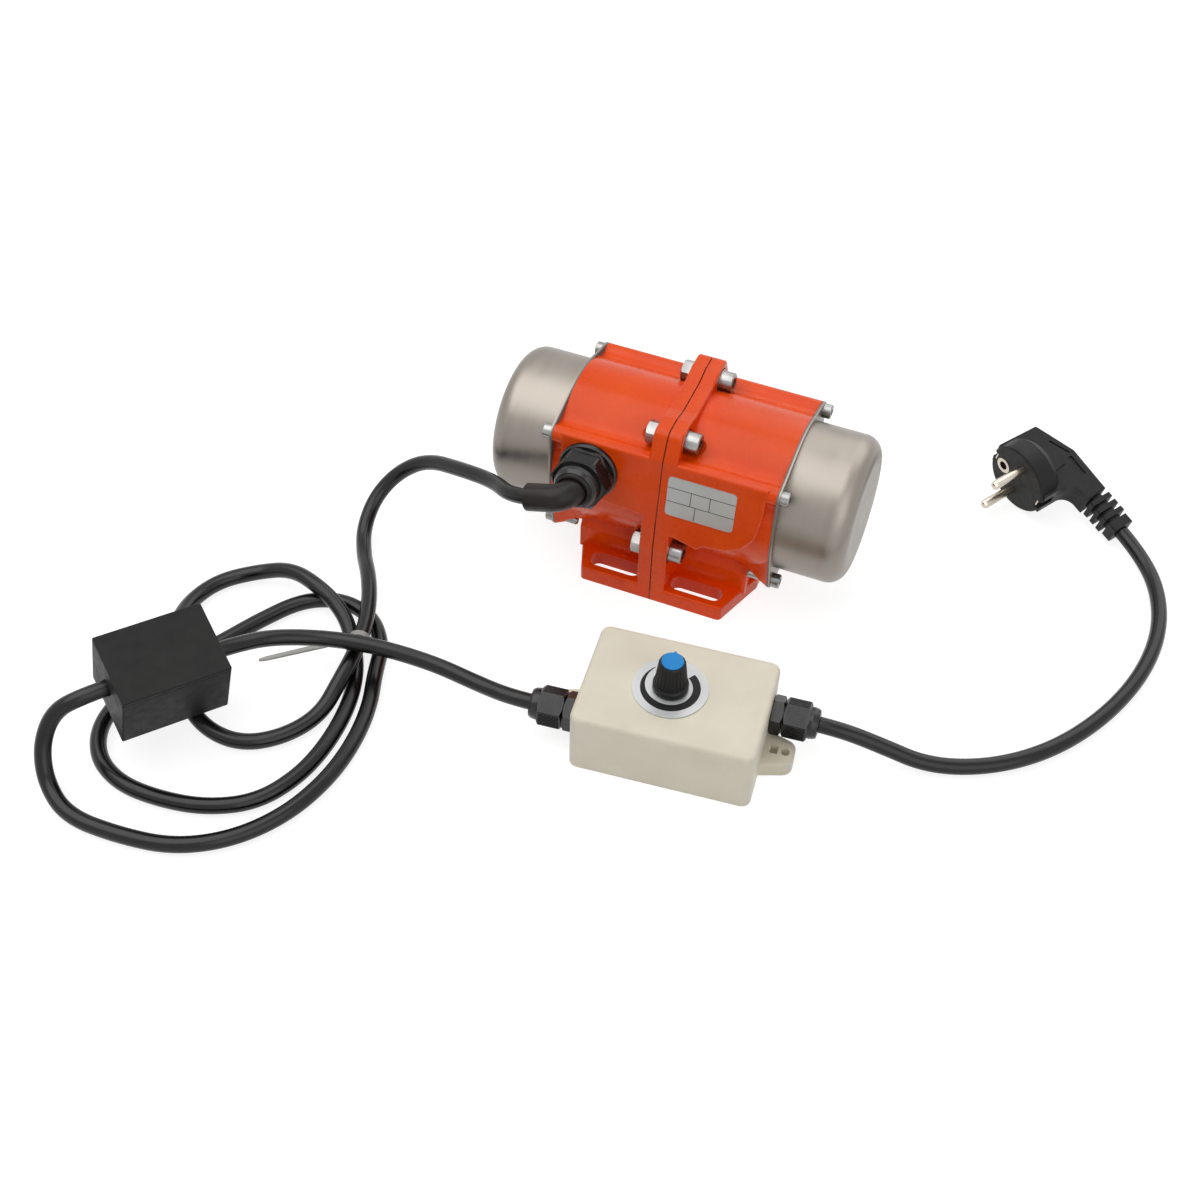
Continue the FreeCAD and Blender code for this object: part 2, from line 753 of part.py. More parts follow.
def socket_screw(name, radius, head_radius, head_height, flats, length):
    """A socket head screw along its own Z: shank below zero, head above it."""
    blank = turned(name + "_blank", [
        ("0", f"-({length})"), (f"{radius} - 0.4", f"-({length})"), (radius, f"-({length}) + 0.6"), (radius, "0"),
        (head_radius, "0"), (head_radius, f"{head_height} - 0.4"), (f"{head_radius} - 0.4", head_height),
        ("0", head_height),
    ])
    socket = hexagon(name + "_socket", flats, f"{head_height} / 2 + 0.5", ("0", "0", f"{head_height} / 2"))
    return cut(name, blank, [socket])


def hex_nut(name, flats, height, bore):
    """A hexagonal nut on its own Z, its corners turned off at both ends."""
    corner = f"({flats}) / 2 / cos(30)"
    turned_off = turned(name + "_blank", [
        (bore, "0"), (f"({flats}) / 2", "0"), (corner, f"({flats}) * 0.05"), (corner, f"{height} - ({flats}) * 0.05"),
        (f"({flats}) / 2", height), (bore, height),
    ])
    return common(name, turned_off, hexagon(name + "_bar", flats, height))


cap_screw = socket_screw("cap_screw", "screw_radius", "screw_head_radius", "screw_head_height",
                         "screw_socket_flats", "screw_length")
for word, side, towards in SIDES:
    seat = side * mm("housing_half_length + gasket_thickness + cap_sheet")
    spots = [[mm(part) for part in screw_spot(angle)] for angle in SCREW_ANGLES.values()]
    copies("cap_screws_" + word, cap_screw, [Placement(Vector(seat, *spot), TOWARDS[towards]) for spot in spots])

flange_bolt = socket_screw("flange_bolt", "bolt_radius", "bolt_head_radius", "bolt_head_height",
                           "bolt_socket_flats", "bolt_length")
washer = turned("washer", [("bolt_radius + 0.2", "0"), ("washer_radius", "0"), ("washer_radius", "washer_thickness"),
                           ("bolt_radius + 0.2", "washer_thickness")])
nut = hex_nut("flange_nut", "nut_flats", "nut_height", "bolt_radius + thread_gap")
washer_seat = mm("flange_thickness - spot_face_depth")
head_seat = washer_seat + mm("washer_thickness")
copies("flange_bolts", flange_bolt, [Placement(Vector(head_seat, *spot), TOWARDS["X"]) for spot in BOLTS])
copies("flange_washers", washer, [Placement(Vector(washer_seat, *spot), TOWARDS["X"]) for spot in BOLTS])
copies("flange_nuts", nut, [Placement(Vector(-mm("flange_thickness"), *spot), TOWARDS["-X"]) for spot in BOLTS])


# ---------------------------------------------------------------- end caps

for word, side, towards in SIDES:
    node(lobed_plate("gasket_" + word, side, "housing_half_length", "gasket_thickness", "cap_radius - cap_sheet"),
         "cap_gasket_" + word)
    rim = lobed_plate("cap_rim_" + word, side, "housing_half_length + gasket_thickness", "cap_sheet",
                      "cap_radius - cap_sheet")
    cup = turned("cap_cup_" + word, [
        ("cap_radius - cap_sheet", "0"), ("cap_radius", "0"), ("cap_radius", "cap_depth"), ("0", "cap_depth"),
        ("0", "cap_depth - cap_sheet"), ("cap_radius - cap_sheet", "cap_depth - cap_sheet"),
    ], (f"{side} * (housing_half_length + gasket_thickness)", "0", "shaft_height"), towards)
    depth = mm("cap_depth")
    dress(cup, "Fillet", "cap_edge_round", lambda edge: edge.Closed and near(edge.BoundBox.ZMin, depth)
          and near(edge.BoundBox.ZMax, depth))
    inner = depth - mm("cap_sheet")
    dress(cup, "Fillet", "cap_edge_round - cap_sheet", lambda edge: edge.Closed and near(edge.BoundBox.ZMin, inner)
          and near(edge.BoundBox.ZMax, inner))
    node(fuse("cap_" + word, [rim, cup]), "end_cap_" + word)


# ---------------------------------------------------------------- bearings and shaft

PITCH = "(inner_race_radius + outer_race_radius) / 2"


def grooved(name, race, side, towards):
    """A bearing race with its ball track cut in."""
    track = doc.addObject("Part::Torus", name + "_track")
    tie(track, "Radius1", PITCH)
    tie(track, "Radius2", "ball_radius + ball_play")
    place(track, (f"{side} * (stator_bore_depth + bearing_width / 2)", "0", "shaft_height"), towards)
    return cut(name, race, [track])


races = {"outer": [], "inner": []}
for word, side, towards in SIDES:
    start = (f"{side} * stator_bore_depth", "0", "shaft_height")
    rings = {"outer": ("outer_race_radius", "bearing_outer_radius"), "inner": ("bearing_bore_radius", "inner_race_radius")}
    for which, (bore, rim) in rings.items():
        ring = turned(f"{which}_ring_{word}", [(bore, "0"), (rim, "0"), (rim, "bearing_width"), (bore, "bearing_width")],
                      start, towards)
        races[which].append(grooved(f"{which}_race_{word}", ring, side, towards))
    half = "cage_thickness / 2"
    hoop = turned("cage_hoop_" + word, [
        (f"{PITCH} - {half}", "0"), (f"{PITCH} + {half}", "0"), (f"{PITCH} + {half}", "cage_width"),
        (f"{PITCH} - {half}", "cage_width"),
    ], (f"{side} * (stator_bore_depth + (bearing_width - cage_width) / 2)", "0", "shaft_height"), towards)
    balls = []
    for step in range(8):
        ball = doc.addObject("Part::Sphere", f"ball_{word}_{step + 1}")
        tie(ball, "Radius", "ball_radius")
        balls.append(place(ball, (f"{side} * (stator_bore_depth + bearing_width / 2)", f"{PITCH} * cos({45 * step})",
                                  f"shaft_height + {PITCH} * sin({45 * step})")))
    node(fuse("cage_" + word, [hoop] + balls), "ball_cage_" + word)
for which, pair in races.items():
    doc.recompute()
    node(solid(which + "_races", Part.makeCompound([race.Shape for race in pair])), f"bearing_{which}_races")

half_shaft = [
    ("rotor_shaft_radius", "stator_bore_depth - 0.02"),
    ("bearing_bore_radius - seat_gap", "stator_bore_depth - 0.02"),
    ("bearing_bore_radius - seat_gap", "stator_bore_depth + bearing_width + 3"),
    ("weight_shaft_radius", "stator_bore_depth + bearing_width + 3"),
    ("weight_shaft_radius", "shaft_half_length - 1"),
    ("weight_shaft_radius - 1", "shaft_half_length"),
    ("0", "shaft_half_length"),
]
lower_half = [(radius, f"-({height})") for radius, height in reversed(half_shaft)]
shaft = turned("shaft_blank", half_shaft + lower_half, ("0", "0", "shaft_height"), "X")
grooves = []
circlips = []
for word, side, towards in SIDES:
    at = (f"{side} * (stator_bore_depth + bearing_width + 0.1)", "0", "shaft_height")
    grooves.append(turned("circlip_groove_" + word, [
        ("bearing_bore_radius - 0.6", "0"), ("bearing_bore_radius + 3", "0"), ("bearing_bore_radius + 3", "1.1"),
        ("bearing_bore_radius - 0.6", "1.1"),
    ], at, towards))
    ring = turned("circlip_ring_" + word, [
        ("bearing_bore_radius - 0.5", "0.05"), ("bearing_bore_radius + 2", "0.05"), ("bearing_bore_radius + 2", "1.05"),
        ("bearing_bore_radius - 0.5", "1.05"),
    ], at, towards)
    gap = block("circlip_gap_" + word, "4", "5", "bearing_bore_radius * 2",
                (f"{side} * (stator_bore_depth + bearing_width + 0.6)", "0", "shaft_height"))
    circlips.append(cut("circlip_" + word, ring, [gap]))
node(cut("shaft", shaft, grooves), "rotor_shaft")
doc.recompute()
node(solid("circlips", Part.makeCompound([clip.Shape for clip in circlips])), "shaft_circlips")
node(turned("wave_washer_ring", [
    ("outer_race_radius - 1", "0"), ("bearing_outer_radius - 0.3", "0"),
    ("bearing_outer_radius - 0.3", "wave_washer_height"), ("outer_race_radius - 1", "wave_washer_height"),
], ("-(stator_bore_depth + bearing_width)", "0", "shaft_height"), "-X"), "wave_washer")


# ---------------------------------------------------------------- stator and rotor

SLOTS = 12
stator_inside = "rotor_radius + air_gap"
stack_length = "2 * stack_half_length"
stack_start = ("-stack_half_length", "0", "shaft_height")
ring = turned("stator_ring", [
    (stator_inside, "0"), ("stator_bore_radius - seat_gap", "0"), ("stator_bore_radius - seat_gap", stack_length),
    (stator_inside, stack_length),
], stack_start, "X")


def slot_bars(name, width, inside, outside, length):
    """Bars set round the shaft, one for each stator slot, as one shape."""
    bar = Part.makeBox(mm(length), mm(width), mm(f"({outside}) - ({inside})"),
                       Vector(-mm(length) / 2, -mm(width) / 2, mm(inside)))
    bars = [bar.rotated(Vector(), X, 360.0 * step / SLOTS) for step in range(SLOTS)]
    return bars[0].multiFuse(bars[1:]).translated(Vector(0, 0, mm("shaft_height")))


slot_inside = f"{stator_inside} + tooth_tip_depth"
slot_outside = f"{slot_inside} + slot_depth"
slots = solid("stator_slots", slot_bars("slots", "stator_slot_width", slot_inside, slot_outside, "2 * stack_half_length + 2"))
node(cut("stator", ring, [slots]), "stator_core")
coil_bars = slot_bars("coils", "stator_slot_width - 2 * winding_gap", f"{slot_inside} + winding_gap",
                      f"{slot_outside} - winding_gap", "2 * (stack_half_length + winding_overhang)")
ends = []
for word, side, towards in SIDES:
    end_turn = turned("end_turns_" + word, [
        (f"{slot_inside} + winding_gap", "winding_gap"), (f"{slot_outside} - winding_gap", "winding_gap"),
        (f"{slot_outside} - winding_gap", "winding_overhang - 2"),
        (f"{slot_outside} - 2", "winding_overhang"), (f"{slot_inside} + 2", "winding_overhang"),
        (f"{slot_inside} + winding_gap", "winding_overhang - 2"),
    ], (f"{side} * stack_half_length", "0", "shaft_height"), towards)
    ends.append(end_turn)
node(fuse("windings", [solid("coil_bars", coil_bars)] + ends), "stator_windings")
node(turned("rotor_stack", [
    ("rotor_shaft_radius + seat_gap", "-stack_half_length - 1"), ("rotor_radius", "-stack_half_length - 1"),
    ("rotor_radius", "stack_half_length + 1"), ("rotor_shaft_radius + seat_gap", "stack_half_length + 1"),
], ("0", "0", "shaft_height"), "X"), "rotor_core")


# ---------------------------------------------------------------- eccentric weights

def half_disc(name, start, bore):
    """A half-round weight that hangs below the shaft on a full hub, tapped above for its clamp screw."""
    axis = (start, "0", "shaft_height")
    disc = cylinder(name + "_disc", "weight_radius", "weight_thickness", axis, "X")
    window = block(name + "_upper", "weight_thickness + 2", "2 * weight_radius + 2", "weight_radius + 10",
                   (f"{start} + weight_thickness / 2", "0", "shaft_height - weight_cut_drop"))
    hub = cylinder(name + "_hub", "weight_hub_radius", "weight_thickness", axis, "X")
    whole = fuse(name + "_whole", [cut(name + "_half", disc, [window]), hub])
    hole = cylinder(name + "_bore", bore, "weight_thickness + 2", (f"{start} - 1", "0", "shaft_height"), "X")
    tap = cylinder(name + "_tap", "clamp_screw_radius + thread_gap", "weight_hub_radius + 1",
                   (f"{start} + weight_thickness / 2", "0", "shaft_height"))
    return cut(name, whole, [hole, tap])


clamp_screw = socket_screw("clamp_screw", "clamp_screw_radius", "clamp_head_radius", "clamp_head_height", "4",
                           "weight_hub_radius - weight_shaft_radius - turning_gap - 0.05")
fixed_screw_spots = []
for word, side, towards in SIDES:
    kinds = {
        "fixed": ("weight_start", "weight_shaft_radius + seat_gap"),
        "adjustable": ("weight_start + weight_thickness + weight_gap", "weight_shaft_radius + turning_gap"),
    }
    for kind, (start, bore) in kinds.items():
        edge_nearest_zero = start if side > 0 else f"-({start}) - weight_thickness"
        node(half_disc(f"{kind}_disc_{word}", edge_nearest_zero, bore), f"{kind}_weight_{word}")
        middle_x = side * mm(f"{start} + weight_thickness / 2")
        spot = Placement(Vector(middle_x, 0, mm("shaft_height + weight_hub_radius")), Rotation())
        if kind == "fixed":
            fixed_screw_spots.append(spot)
        else:
            copies("adjustable_clamp_screw_" + word, clamp_screw, [spot])
copies("fixed_clamp_screws", clamp_screw, fixed_screw_spots)


# ---------------------------------------------------------------- motor gland, sleeve and rating plate

GLAND = FRONT_FACE.multiply(Placement(Vector(mm("gland_x"), mm(up_face("gland_height")), 0), Rotation()))
COLLAR_END = "(gland_disc_thickness + gland_collar_length)"
SLEEVE_WAY = "(sleeve_radius + sleeve_play)"
gland_blank = turned("motor_gland_blank", [
    (SLEEVE_WAY, "-gland_thread_depth"), ("gland_thread_radius", "-gland_thread_depth"),
    ("gland_thread_radius", "0"), ("gland_disc_radius", "0"), ("gland_disc_radius", "gland_disc_thickness - 0.8"),
    ("gland_disc_radius - 0.8", "gland_disc_thickness"), ("gland_spigot_radius", "gland_disc_thickness"),
    ("gland_spigot_radius", f"{COLLAR_END} + gland_spigot_length"),
    (SLEEVE_WAY, f"{COLLAR_END} + gland_spigot_length"),
])
gland_collar = hex_nut("motor_gland_collar", "gland_nut_flats", "gland_collar_length", "gland_spigot_radius - 1")
gland_collar.Placement = Placement(Vector(0, 0, mm("gland_disc_thickness")), Rotation())
node(fuse("motor_gland", [gland_blank, gland_collar]), "motor_gland_body", GLAND)


def ribbed_bar(name, flats, length, depth, ribs=11):
    """A hexagonal bar with grip ribs along the middle of each side."""
    apothem = mm(flats) / 2
    corner = apothem * math.tan(math.radians(30))
    pitch = 1.7 * corner / ribs
    side = [Vector(corner, apothem, 0)]
    for rib in range(ribs):
        start = (ribs / 2 - rib) * pitch
        side += [Vector(start - pitch * across, apothem - sunk, 0)
                 for across, sunk in ((0.1, 0), (0.3, depth), (0.7, depth), (0.9, 0))]
    rim = [Rotation(Z, 60 * turn).multVec(point) for turn in range(6) for point in side]
    bar = Part.Face(Part.makePolygon(rim + rim[:1])).extrude(Z * mm(length))
    return solid(name, bar)


def gland_nut(name, flats, start, hex_length, dome_radius, dome_length, mouth, mouth_wall, cavity, flare=None):
    """A sealing nut: a hexagonal grip, then a dome that closes in on the cord."""
    end = f"{hex_length} + {dome_length}"
    lip = [(f"{mouth} + {flare}", end), (mouth, f"{end} - {mouth_wall} + 0.1")] if flare else [(mouth, end)]
    dome = turned(name + "_dome", [
        (mouth, f"{hex_length} - 1"), (dome_radius, f"{hex_length} - 1"), (dome_radius, f"{hex_length} + {dome_length} * 0.3"),
        (f"{dome_radius} * 0.96", f"{hex_length} + {dome_length} * 0.65"),
        (f"{dome_radius} * 0.88", f"{hex_length} + {dome_length} * 0.9"),
        (f"{mouth} + {flare or 0} + 0.6", end), *lip,
    ])
    grip = hex_nut(name + "_grip", flats, hex_length, mouth)
    if flare:
        grip = common(name + "_ribbed_grip", grip, ribbed_bar(name + "_ribs", flats, hex_length, mm("gland_rib_depth")))
    hollow = cylinder(name + "_hollow", cavity, f"{end} - {mouth_wall}", ("0", "0", "0"))
    nut_shape = cut(name, fuse(name + "_solid", [grip, dome]), [hollow])
    nut_shape.Placement = Placement(Vector(0, 0, mm(start)), Rotation())
    return nut_shape


node(gland_nut("motor_nut", "gland_nut_flats", f"{COLLAR_END} + 0.2", "gland_nut_hex_length",
               "gland_dome_radius", "gland_dome_length", SLEEVE_WAY, "gland_mouth_wall",
               "gland_spigot_radius + thread_gap", "gland_mouth_flare"), "motor_gland_nut", GLAND)
seal_start = f"{COLLAR_END} + gland_spigot_length + 0.1"
seal_end = f"{COLLAR_END} + gland_nut_hex_length + gland_dome_length - gland_mouth_wall"
node(turned("gland_seal", [
    ("sleeve_radius + 0.1", seal_start), ("gland_spigot_radius - 0.1", seal_start), ("gland_spigot_radius - 0.1", seal_end),
    ("sleeve_radius + 0.1", seal_end),
]), "motor_gland_seal", GLAND)

plate_low = up_face("plate_low_height")
plate = prism("plate", "XY_Plane", [
    ("plate_left", plate_low), ("plate_left + plate_width", plate_low),
    ("plate_left + plate_width", f"{plate_low} + plate_height"), ("plate_left", f"{plate_low} + plate_height"),
], "plate_thickness")
dress(plate, "Fillet", "plate_corner", lambda edge: parallel(edge, Z))
plate.Placement = FRONT_FACE
node(plate, "rating_plate")


# ---------------------------------------------------------------- cords

sleeve_end = Vector(-54.5, -64.0, 66.5)
sleeve_corner = GLAND.multVec(Vector(0, 0, mm("sleeve_corner")))
sleeve_run = (sleeve_end - sleeve_corner).normalize()
sleeve_route = [tuple(GLAND.multVec(Vector(0, 0, mm("sleeve_start")))), tuple(sleeve_corner), tuple(sleeve_end)]
cord("cable_sleeve", sleeve_route, mm("sleeve_radius"), mm("cord_radius") + 0.02)

entry = mm("capacitor_box_length / 2 - 1.0")
left_entry = CAPACITOR.multVec(Vector(-entry, 0, mm("cable_entry_height")))
right_entry = CAPACITOR.multVec(Vector(entry, 0, mm("cable_entry_height")))
gland_end = mm("box_length / 2 + small_gland_hex_length + small_gland_nut_length + small_gland_dome_length + 0.3")
left_gland_mouth = CONTROLLER.multVec(Vector(-gland_end + 3, -mm("small_gland_offset"), mm("small_gland_height")))
right_gland_mouth = CONTROLLER.multVec(Vector(gland_end - 3, mm("small_gland_offset"), mm("small_gland_height")))
plug_exit = PLUG.multVec(Vector(mm("plug_exit_reach"), 0, -mm("plug_exit_depth")))

motor_lead_route = [
    tuple(sleeve_end - sleeve_run * 3), tuple(sleeve_end + sleeve_run * 9), (-78.0, -50.5, 56.0), (-99.5, -42.0, 48.5), (-122.0, -33.0, 38.8), (-137.0, -36.0, 28.2),
    (-145.5, -46.5, 17.2), (-145.0, -62.0, 9.1), (-137.0, -77.5, 7.7), (-126.5, -92.0, 12.2), (-118.0, -107.5, 12.3),
    (-112.5, -123.0, 12.2), (-109.0, -139.5, 12.8), (-108.5, -155.5, 10.9), (-110.0, -172.0, 4.3),
    (-119.0, -189.0, 3.8), (-134.5, -200.5, 3.8), (-152.0, -201.5, 7.1), (-167.5, -193.0, 11.8), (-182.0, -171.5, 12.9),
    (-195.5, -154.0, 10.0), (-200.5, -136.0, 4.6), (-195.5, -118.0, 3.8), (-181.0, -106.0, 4.8), (-162.5, -103.0, 11.7),
    (-144.5, -109.0, 13.4), (-129.0, -114.5, 8.0), (-117.0, -127.0, 3.8), (-107.0, -143.0, 3.8), (-101.0, -162.5, 3.8),
    (-99.5, -185.0, 3.8), (-102.5, -206.0, 3.8), (-112.5, -225.5, 3.8), (-131.0, -236.5, 3.8), (-152.0, -240.5, 3.8),
    (-173.0, -240.0, 3.8), (-190.0, -231.0, 3.8), (-199.0, -214.0, 3.8), (-197.0, -193.5, 3.8), (-187.5, -175.0, 3.8),
    (-175.0, -154.0, 3.8), (-164.0, -132.0, 3.8), (-151.5, -112.5, 3.8), (-134.0, -105.0, 3.8), (-116.0, -109.5, 3.8),
    (-103.5, -124.0, 3.8), (-99.0, -140.5, 3.8), (-92.0, -159.5, 3.8), (-89.0, -181.5, 3.8), (-90.5, -204.0, 3.8),
    (-98.0, -227.0, 3.8), (-112.5, -246.5, 3.8), (-133.0, -259.5, 3.8), (-157.5, -263.5, 3.8), (-183.5, -263.5, 3.8),
    (-199.0, -254.5, 8.0), (-205.0, -245.0, 20.0), (-202.5, -235.5, 33.0),
    tuple(CAPACITOR.multVec(Vector(-entry - 13, 0, mm("cable_entry_height")))), tuple(left_entry),
]
controller_lead_route = [
    tuple(right_entry), tuple(CAPACITOR.multVec(Vector(entry + 9, 0, mm("cable_entry_height")))),
    (-141.5, -156.5, 27.1), (-120.5, -143.5, 22.2), (-98.0, -138.0, 20.8), (-72.0, -133.0, 15.5), (-47.5, -135.0, 13.8),
    tuple(CONTROLLER.multVec(Vector(-gland_end - 9, -mm("small_gland_offset"), mm("small_gland_height")))),
    tuple(left_gland_mouth),
]
mains_lead_route = [
    tuple(right_gland_mouth),
    tuple(CONTROLLER.multVec(Vector(gland_end + 9, mm("small_gland_offset"), mm("small_gland_height")))),
    (129.0, -94.5, 10.5), (152.0, -92.0, 3.8), (177.5, -82.0, 3.8), (201.0, -62.0, 3.8), (219.5, -33.5, 3.8),
    (231.5, -1.0, 3.8), (235.0, 31.0, 3.8), (229.0, 60.0, 3.8),
    tuple(PLUG.multVec(Vector(mm("plug_exit_reach + plug_lead_out"), 0, -mm("plug_exit_depth")))), tuple(plug_exit),
]
cord("motor_lead", motor_lead_route)
cord("controller_lead", controller_lead_route)
cord("mains_lead", mains_lead_route)


def cable_tie():
    """A nylon tie: a band round the motor lead, its head beside it and its long tail lying away."""
    first, last = (Vector(*motor_lead_route[i]) for i in (11, 12))
    centre = (first + last) / 2
    run = (last - first).normalize()
    inside = mm("cord_radius + tie_play")
    outside = inside + mm("tie_thickness")
    width = mm("tie_width")
    start = centre - run * (width / 2)
    band = Part.makeCylinder(outside, width, start, run).cut(Part.makeCylinder(inside, width, start, run))
    away = Vector(-0.86, -0.51, 0).normalize()
    flank = Z.cross(away)
    head_at = centre + away * (outside + 1.2)
    frame = Placement(head_at, Rotation(away, flank, Z, "XYZ"))
    head = Part.makeBox(4.2, 4.4, 3.6, Vector(-2.1, -2.2, -1.8))
    width_steps = [(1.5, 1.3), (9.0, 1.3), (38.0, 1.0), (41.5, 0.4)]
    sides = [Vector(reach, half, 0) for reach, half in width_steps]
    sides += [Vector(reach, -half, 0) for reach, half in reversed(width_steps)]
    strap = Part.Face(Part.makePolygon(sides + sides[:1])).extrude(Z * mm("tie_thickness"))
    strap = strap.rotated(Vector(), Y, 11.0)
    piece = head.fuse(strap).transformed(frame.toMatrix())
    clear = Part.makeCylinder(inside, 12, centre - run * 6, run)
    return piece.fuse(band).cut(clear).removeSplitter()


node(solid("tie", cable_tie()), "cable_tie")


# ---------------------------------------------------------------- controller

def corner_spots(length, width, inset):
    return [(f"{across} * (({length}) / 2 - {inset})", f"{deep} * (({width}) / 2 - {inset})")
            for across in (-1, 1) for deep in (-1, 1)]


def rectangle(length, width):
    return [(f"-({length}) / 2", f"-({width}) / 2"), (f"({length}) / 2", f"-({width}) / 2"),
            (f"({length}) / 2", f"({width}) / 2"), (f"-({length}) / 2", f"({width}) / 2")]


def controller_ear(side, word):
    """A tapered mounting ear on a short end, with a moulding window near its root."""
    root = f"{side} * (box_length / 2 - 1)"
    tip = f"{side} * (box_length / 2 + ear_length)"
    body = prism("ear_" + word, "XY_Plane", [
        (root, "-ear_root_width / 2"), (tip, "-ear_tip_width / 2"), (tip, "ear_tip_width / 2"), (root, "ear_root_width / 2"),
    ], "ear_height")
    dress(body, "Fillet", "ear_tip_width * 0.42", lambda edge: parallel(edge, Z)
          and abs(middle(edge).x) > mm("box_length / 2 + 1"))
    return dress(body, "Fillet", "0.8", lambda edge: near(edge.BoundBox.ZMin, mm("ear_height"))
                 and abs(middle(edge).x) > mm("box_length / 2 - 0.9"))


outer = prism("cover_outside", "XY_Plane", rectangle("box_length", "box_width"), "box_height")
dress(outer, "Fillet", "box_corner_round", lambda edge: parallel(edge, Z))
dress(outer, "Fillet", "box_top_round", lambda edge: near(edge.BoundBox.ZMin, mm("box_height")))
inner = prism("cover_inside", "XY_Plane", rectangle("box_length - 2 * box_wall", "box_width - 2 * box_wall"),
              "box_height - box_top")
dress(inner, "Fillet", "box_corner_round - box_wall", lambda edge: parallel(edge, Z))
shell = cut("cover_shell", outer, [inner])
pillars = [cylinder(f"pillar_{i}", "pillar_radius", "box_height - box_top - base_plate_thickness + 0.5",
                    (*spot, "base_plate_thickness"))
           for i, spot in enumerate(corner_spots("box_length", "box_width", "pillar_inset"))]
ears = [controller_ear(side, word) for word, side, towards in SIDES]
holes = [cylinder("bushing_hole", "bushing_radius + 0.1", "box_top + 2", ("knob_x", "0", "box_height - box_top - 1"))]
for i, spot in enumerate(corner_spots("box_length", "box_width", "pillar_inset")):
    holes.append(cylinder(f"pillar_tap_{i}", "base_screw_radius + thread_gap", "base_screw_length + 2", (*spot, "0")))
for word, side, towards in SIDES:
    wall = f"{side} * (box_length / 2 - box_wall - 1)"
    holes.append(cylinder("gland_way_" + word, "small_gland_thread_radius + thread_gap", "box_wall + 2",
                          (wall, f"{side} * small_gland_offset", "small_gland_height"), towards))
    reach = f"{side} * (box_length / 2 + ear_hole_reach)"
    holes.append(cylinder("ear_hole_" + word, "ear_hole_radius", "ear_height + 2", (reach, "0", "-1")))
    window = f"{side} * (box_length / 2 + ear_window_reach)"
    holes.append(block("ear_window_" + word, "ear_window_length", "ear_window_width", "ear_height + 2",
                       (window, "0", "-1")))
node(cut("cover", fuse("cover_moulding", [shell] + pillars + ears), holes), "controller_cover", CONTROLLER)

base = prism("base_plate", "XY_Plane", rectangle("box_length - 2 * box_wall - 2 * base_plate_play",
                                                 "box_width - 2 * box_wall - 2 * base_plate_play"),
             "base_plate_thickness")
dress(base, "Fillet", "box_corner_round - box_wall", lambda edge: parallel(edge, Z))
posts = [cylinder(f"standoff_{i}", "standoff_radius", "base_plate_thickness + standoff_height", (*spot, "0"))
         for i, spot in enumerate(corner_spots("board_length", "board_width", "4"))]
sinks = []
screw_spots = corner_spots("box_length", "box_width", "pillar_inset")
for i, spot in enumerate(screw_spots):
    sinks.append(turned(f"countersink_{i}", [
        ("0", "-1"), ("base_screw_head_radius + 0.1", "-1"), ("base_screw_head_radius + 0.1", "0.3"),
        ("base_screw_radius + 0.1", "0.3 + base_screw_head_radius - base_screw_radius"),
        ("base_screw_radius + 0.1", "base_plate_thickness + 1"), ("0", "base_plate_thickness + 1"),
    ], (*spot, "0")))
node(cut("base", fuse("base_moulding", [base] + posts), sinks), "controller_base", CONTROLLER)
base_screw = turned("base_screw", [
    ("0", "0.2"), ("base_screw_head_radius", "0.2"), ("base_screw_radius", "0.2 + base_screw_head_radius - base_screw_radius"),
    ("base_screw_radius", "base_screw_length"), ("0", "base_screw_length"),
])
copies("controller_base_screws", base_screw,
       [CONTROLLER.multiply(Placement(Vector(mm(across), mm(deep), 0), Rotation())) for across, deep in screw_spots])

board_bottom = "base_plate_thickness + standoff_height"
board_top = f"{board_bottom} + board_thickness"
node(block("board", "board_length", "board_width", "board_thickness", ("0", "0", board_bottom)), "control_board", CONTROLLER)
parts_on_board = [
    block("heat_sink_foot", "14", "18", "1.5", ("20", "0", board_top)),
    block("heat_sink_fin_1", "1.5", "18", "14", ("14", "0", board_top)),
    block("heat_sink_fin_2", "1.5", "18", "14", ("26", "0", board_top)),
    block("triac", "10", "4.5", "9", ("20", "0", f"{board_top} + 1.5")),
    block("terminal_block", "8", "16", "8", ("-26", "0", board_top)),
    cylinder("smoothing_capacitor", "4", "11", ("8", "-13", board_top)),
    cylinder("choke", "5.5", "8", ("-12", "-13", board_top)),
]
doc.recompute()
heat_sink = parts_on_board[0].Shape.multiFuse([part.Shape for part in parts_on_board[1:4]])
loose = [part.Shape for part in parts_on_board[4:]]
node(solid("components", Part.makeCompound([heat_sink] + loose)), "board_components", CONTROLLER)

pot_bottom = "box_height - box_top - pot_height"
pot_solid = fuse("pot_solid", [
    cylinder("pot_can", "pot_radius", "pot_height", ("knob_x", "0", pot_bottom)),
    cylinder("pot_bushing", "bushing_radius", "bushing_length + 1", ("knob_x", "0", "box_height - box_top - 1")),
    block("pot_tags", "10", "6", "1", ("knob_x", "pot_radius + 1", f"{pot_bottom} + 1")),
])
shaft_foot = "box_height - box_top - 5"
pot_bore = cylinder("pot_bore", "pot_shaft_radius + pot_shaft_play", "20", ("knob_x", "0", f"{shaft_foot} - 0.1"))
node(cut("pot", pot_solid, [pot_bore]), "speed_potentiometer", CONTROLLER)
node(cylinder("pot_stem", "pot_shaft_radius", "pot_shaft_length", ("knob_x", "0", shaft_foot)),
     "potentiometer_shaft", CONTROLLER)
dial_top = "box_height + dial_thickness"
node(turned("dial", [
    ("bushing_radius + 0.2", "box_height"), ("dial_radius", "box_height"), ("dial_radius", dial_top),
    ("bushing_radius + 0.2", dial_top),
], ("knob_x", "0", "0")), "dial_ring", CONTROLLER)
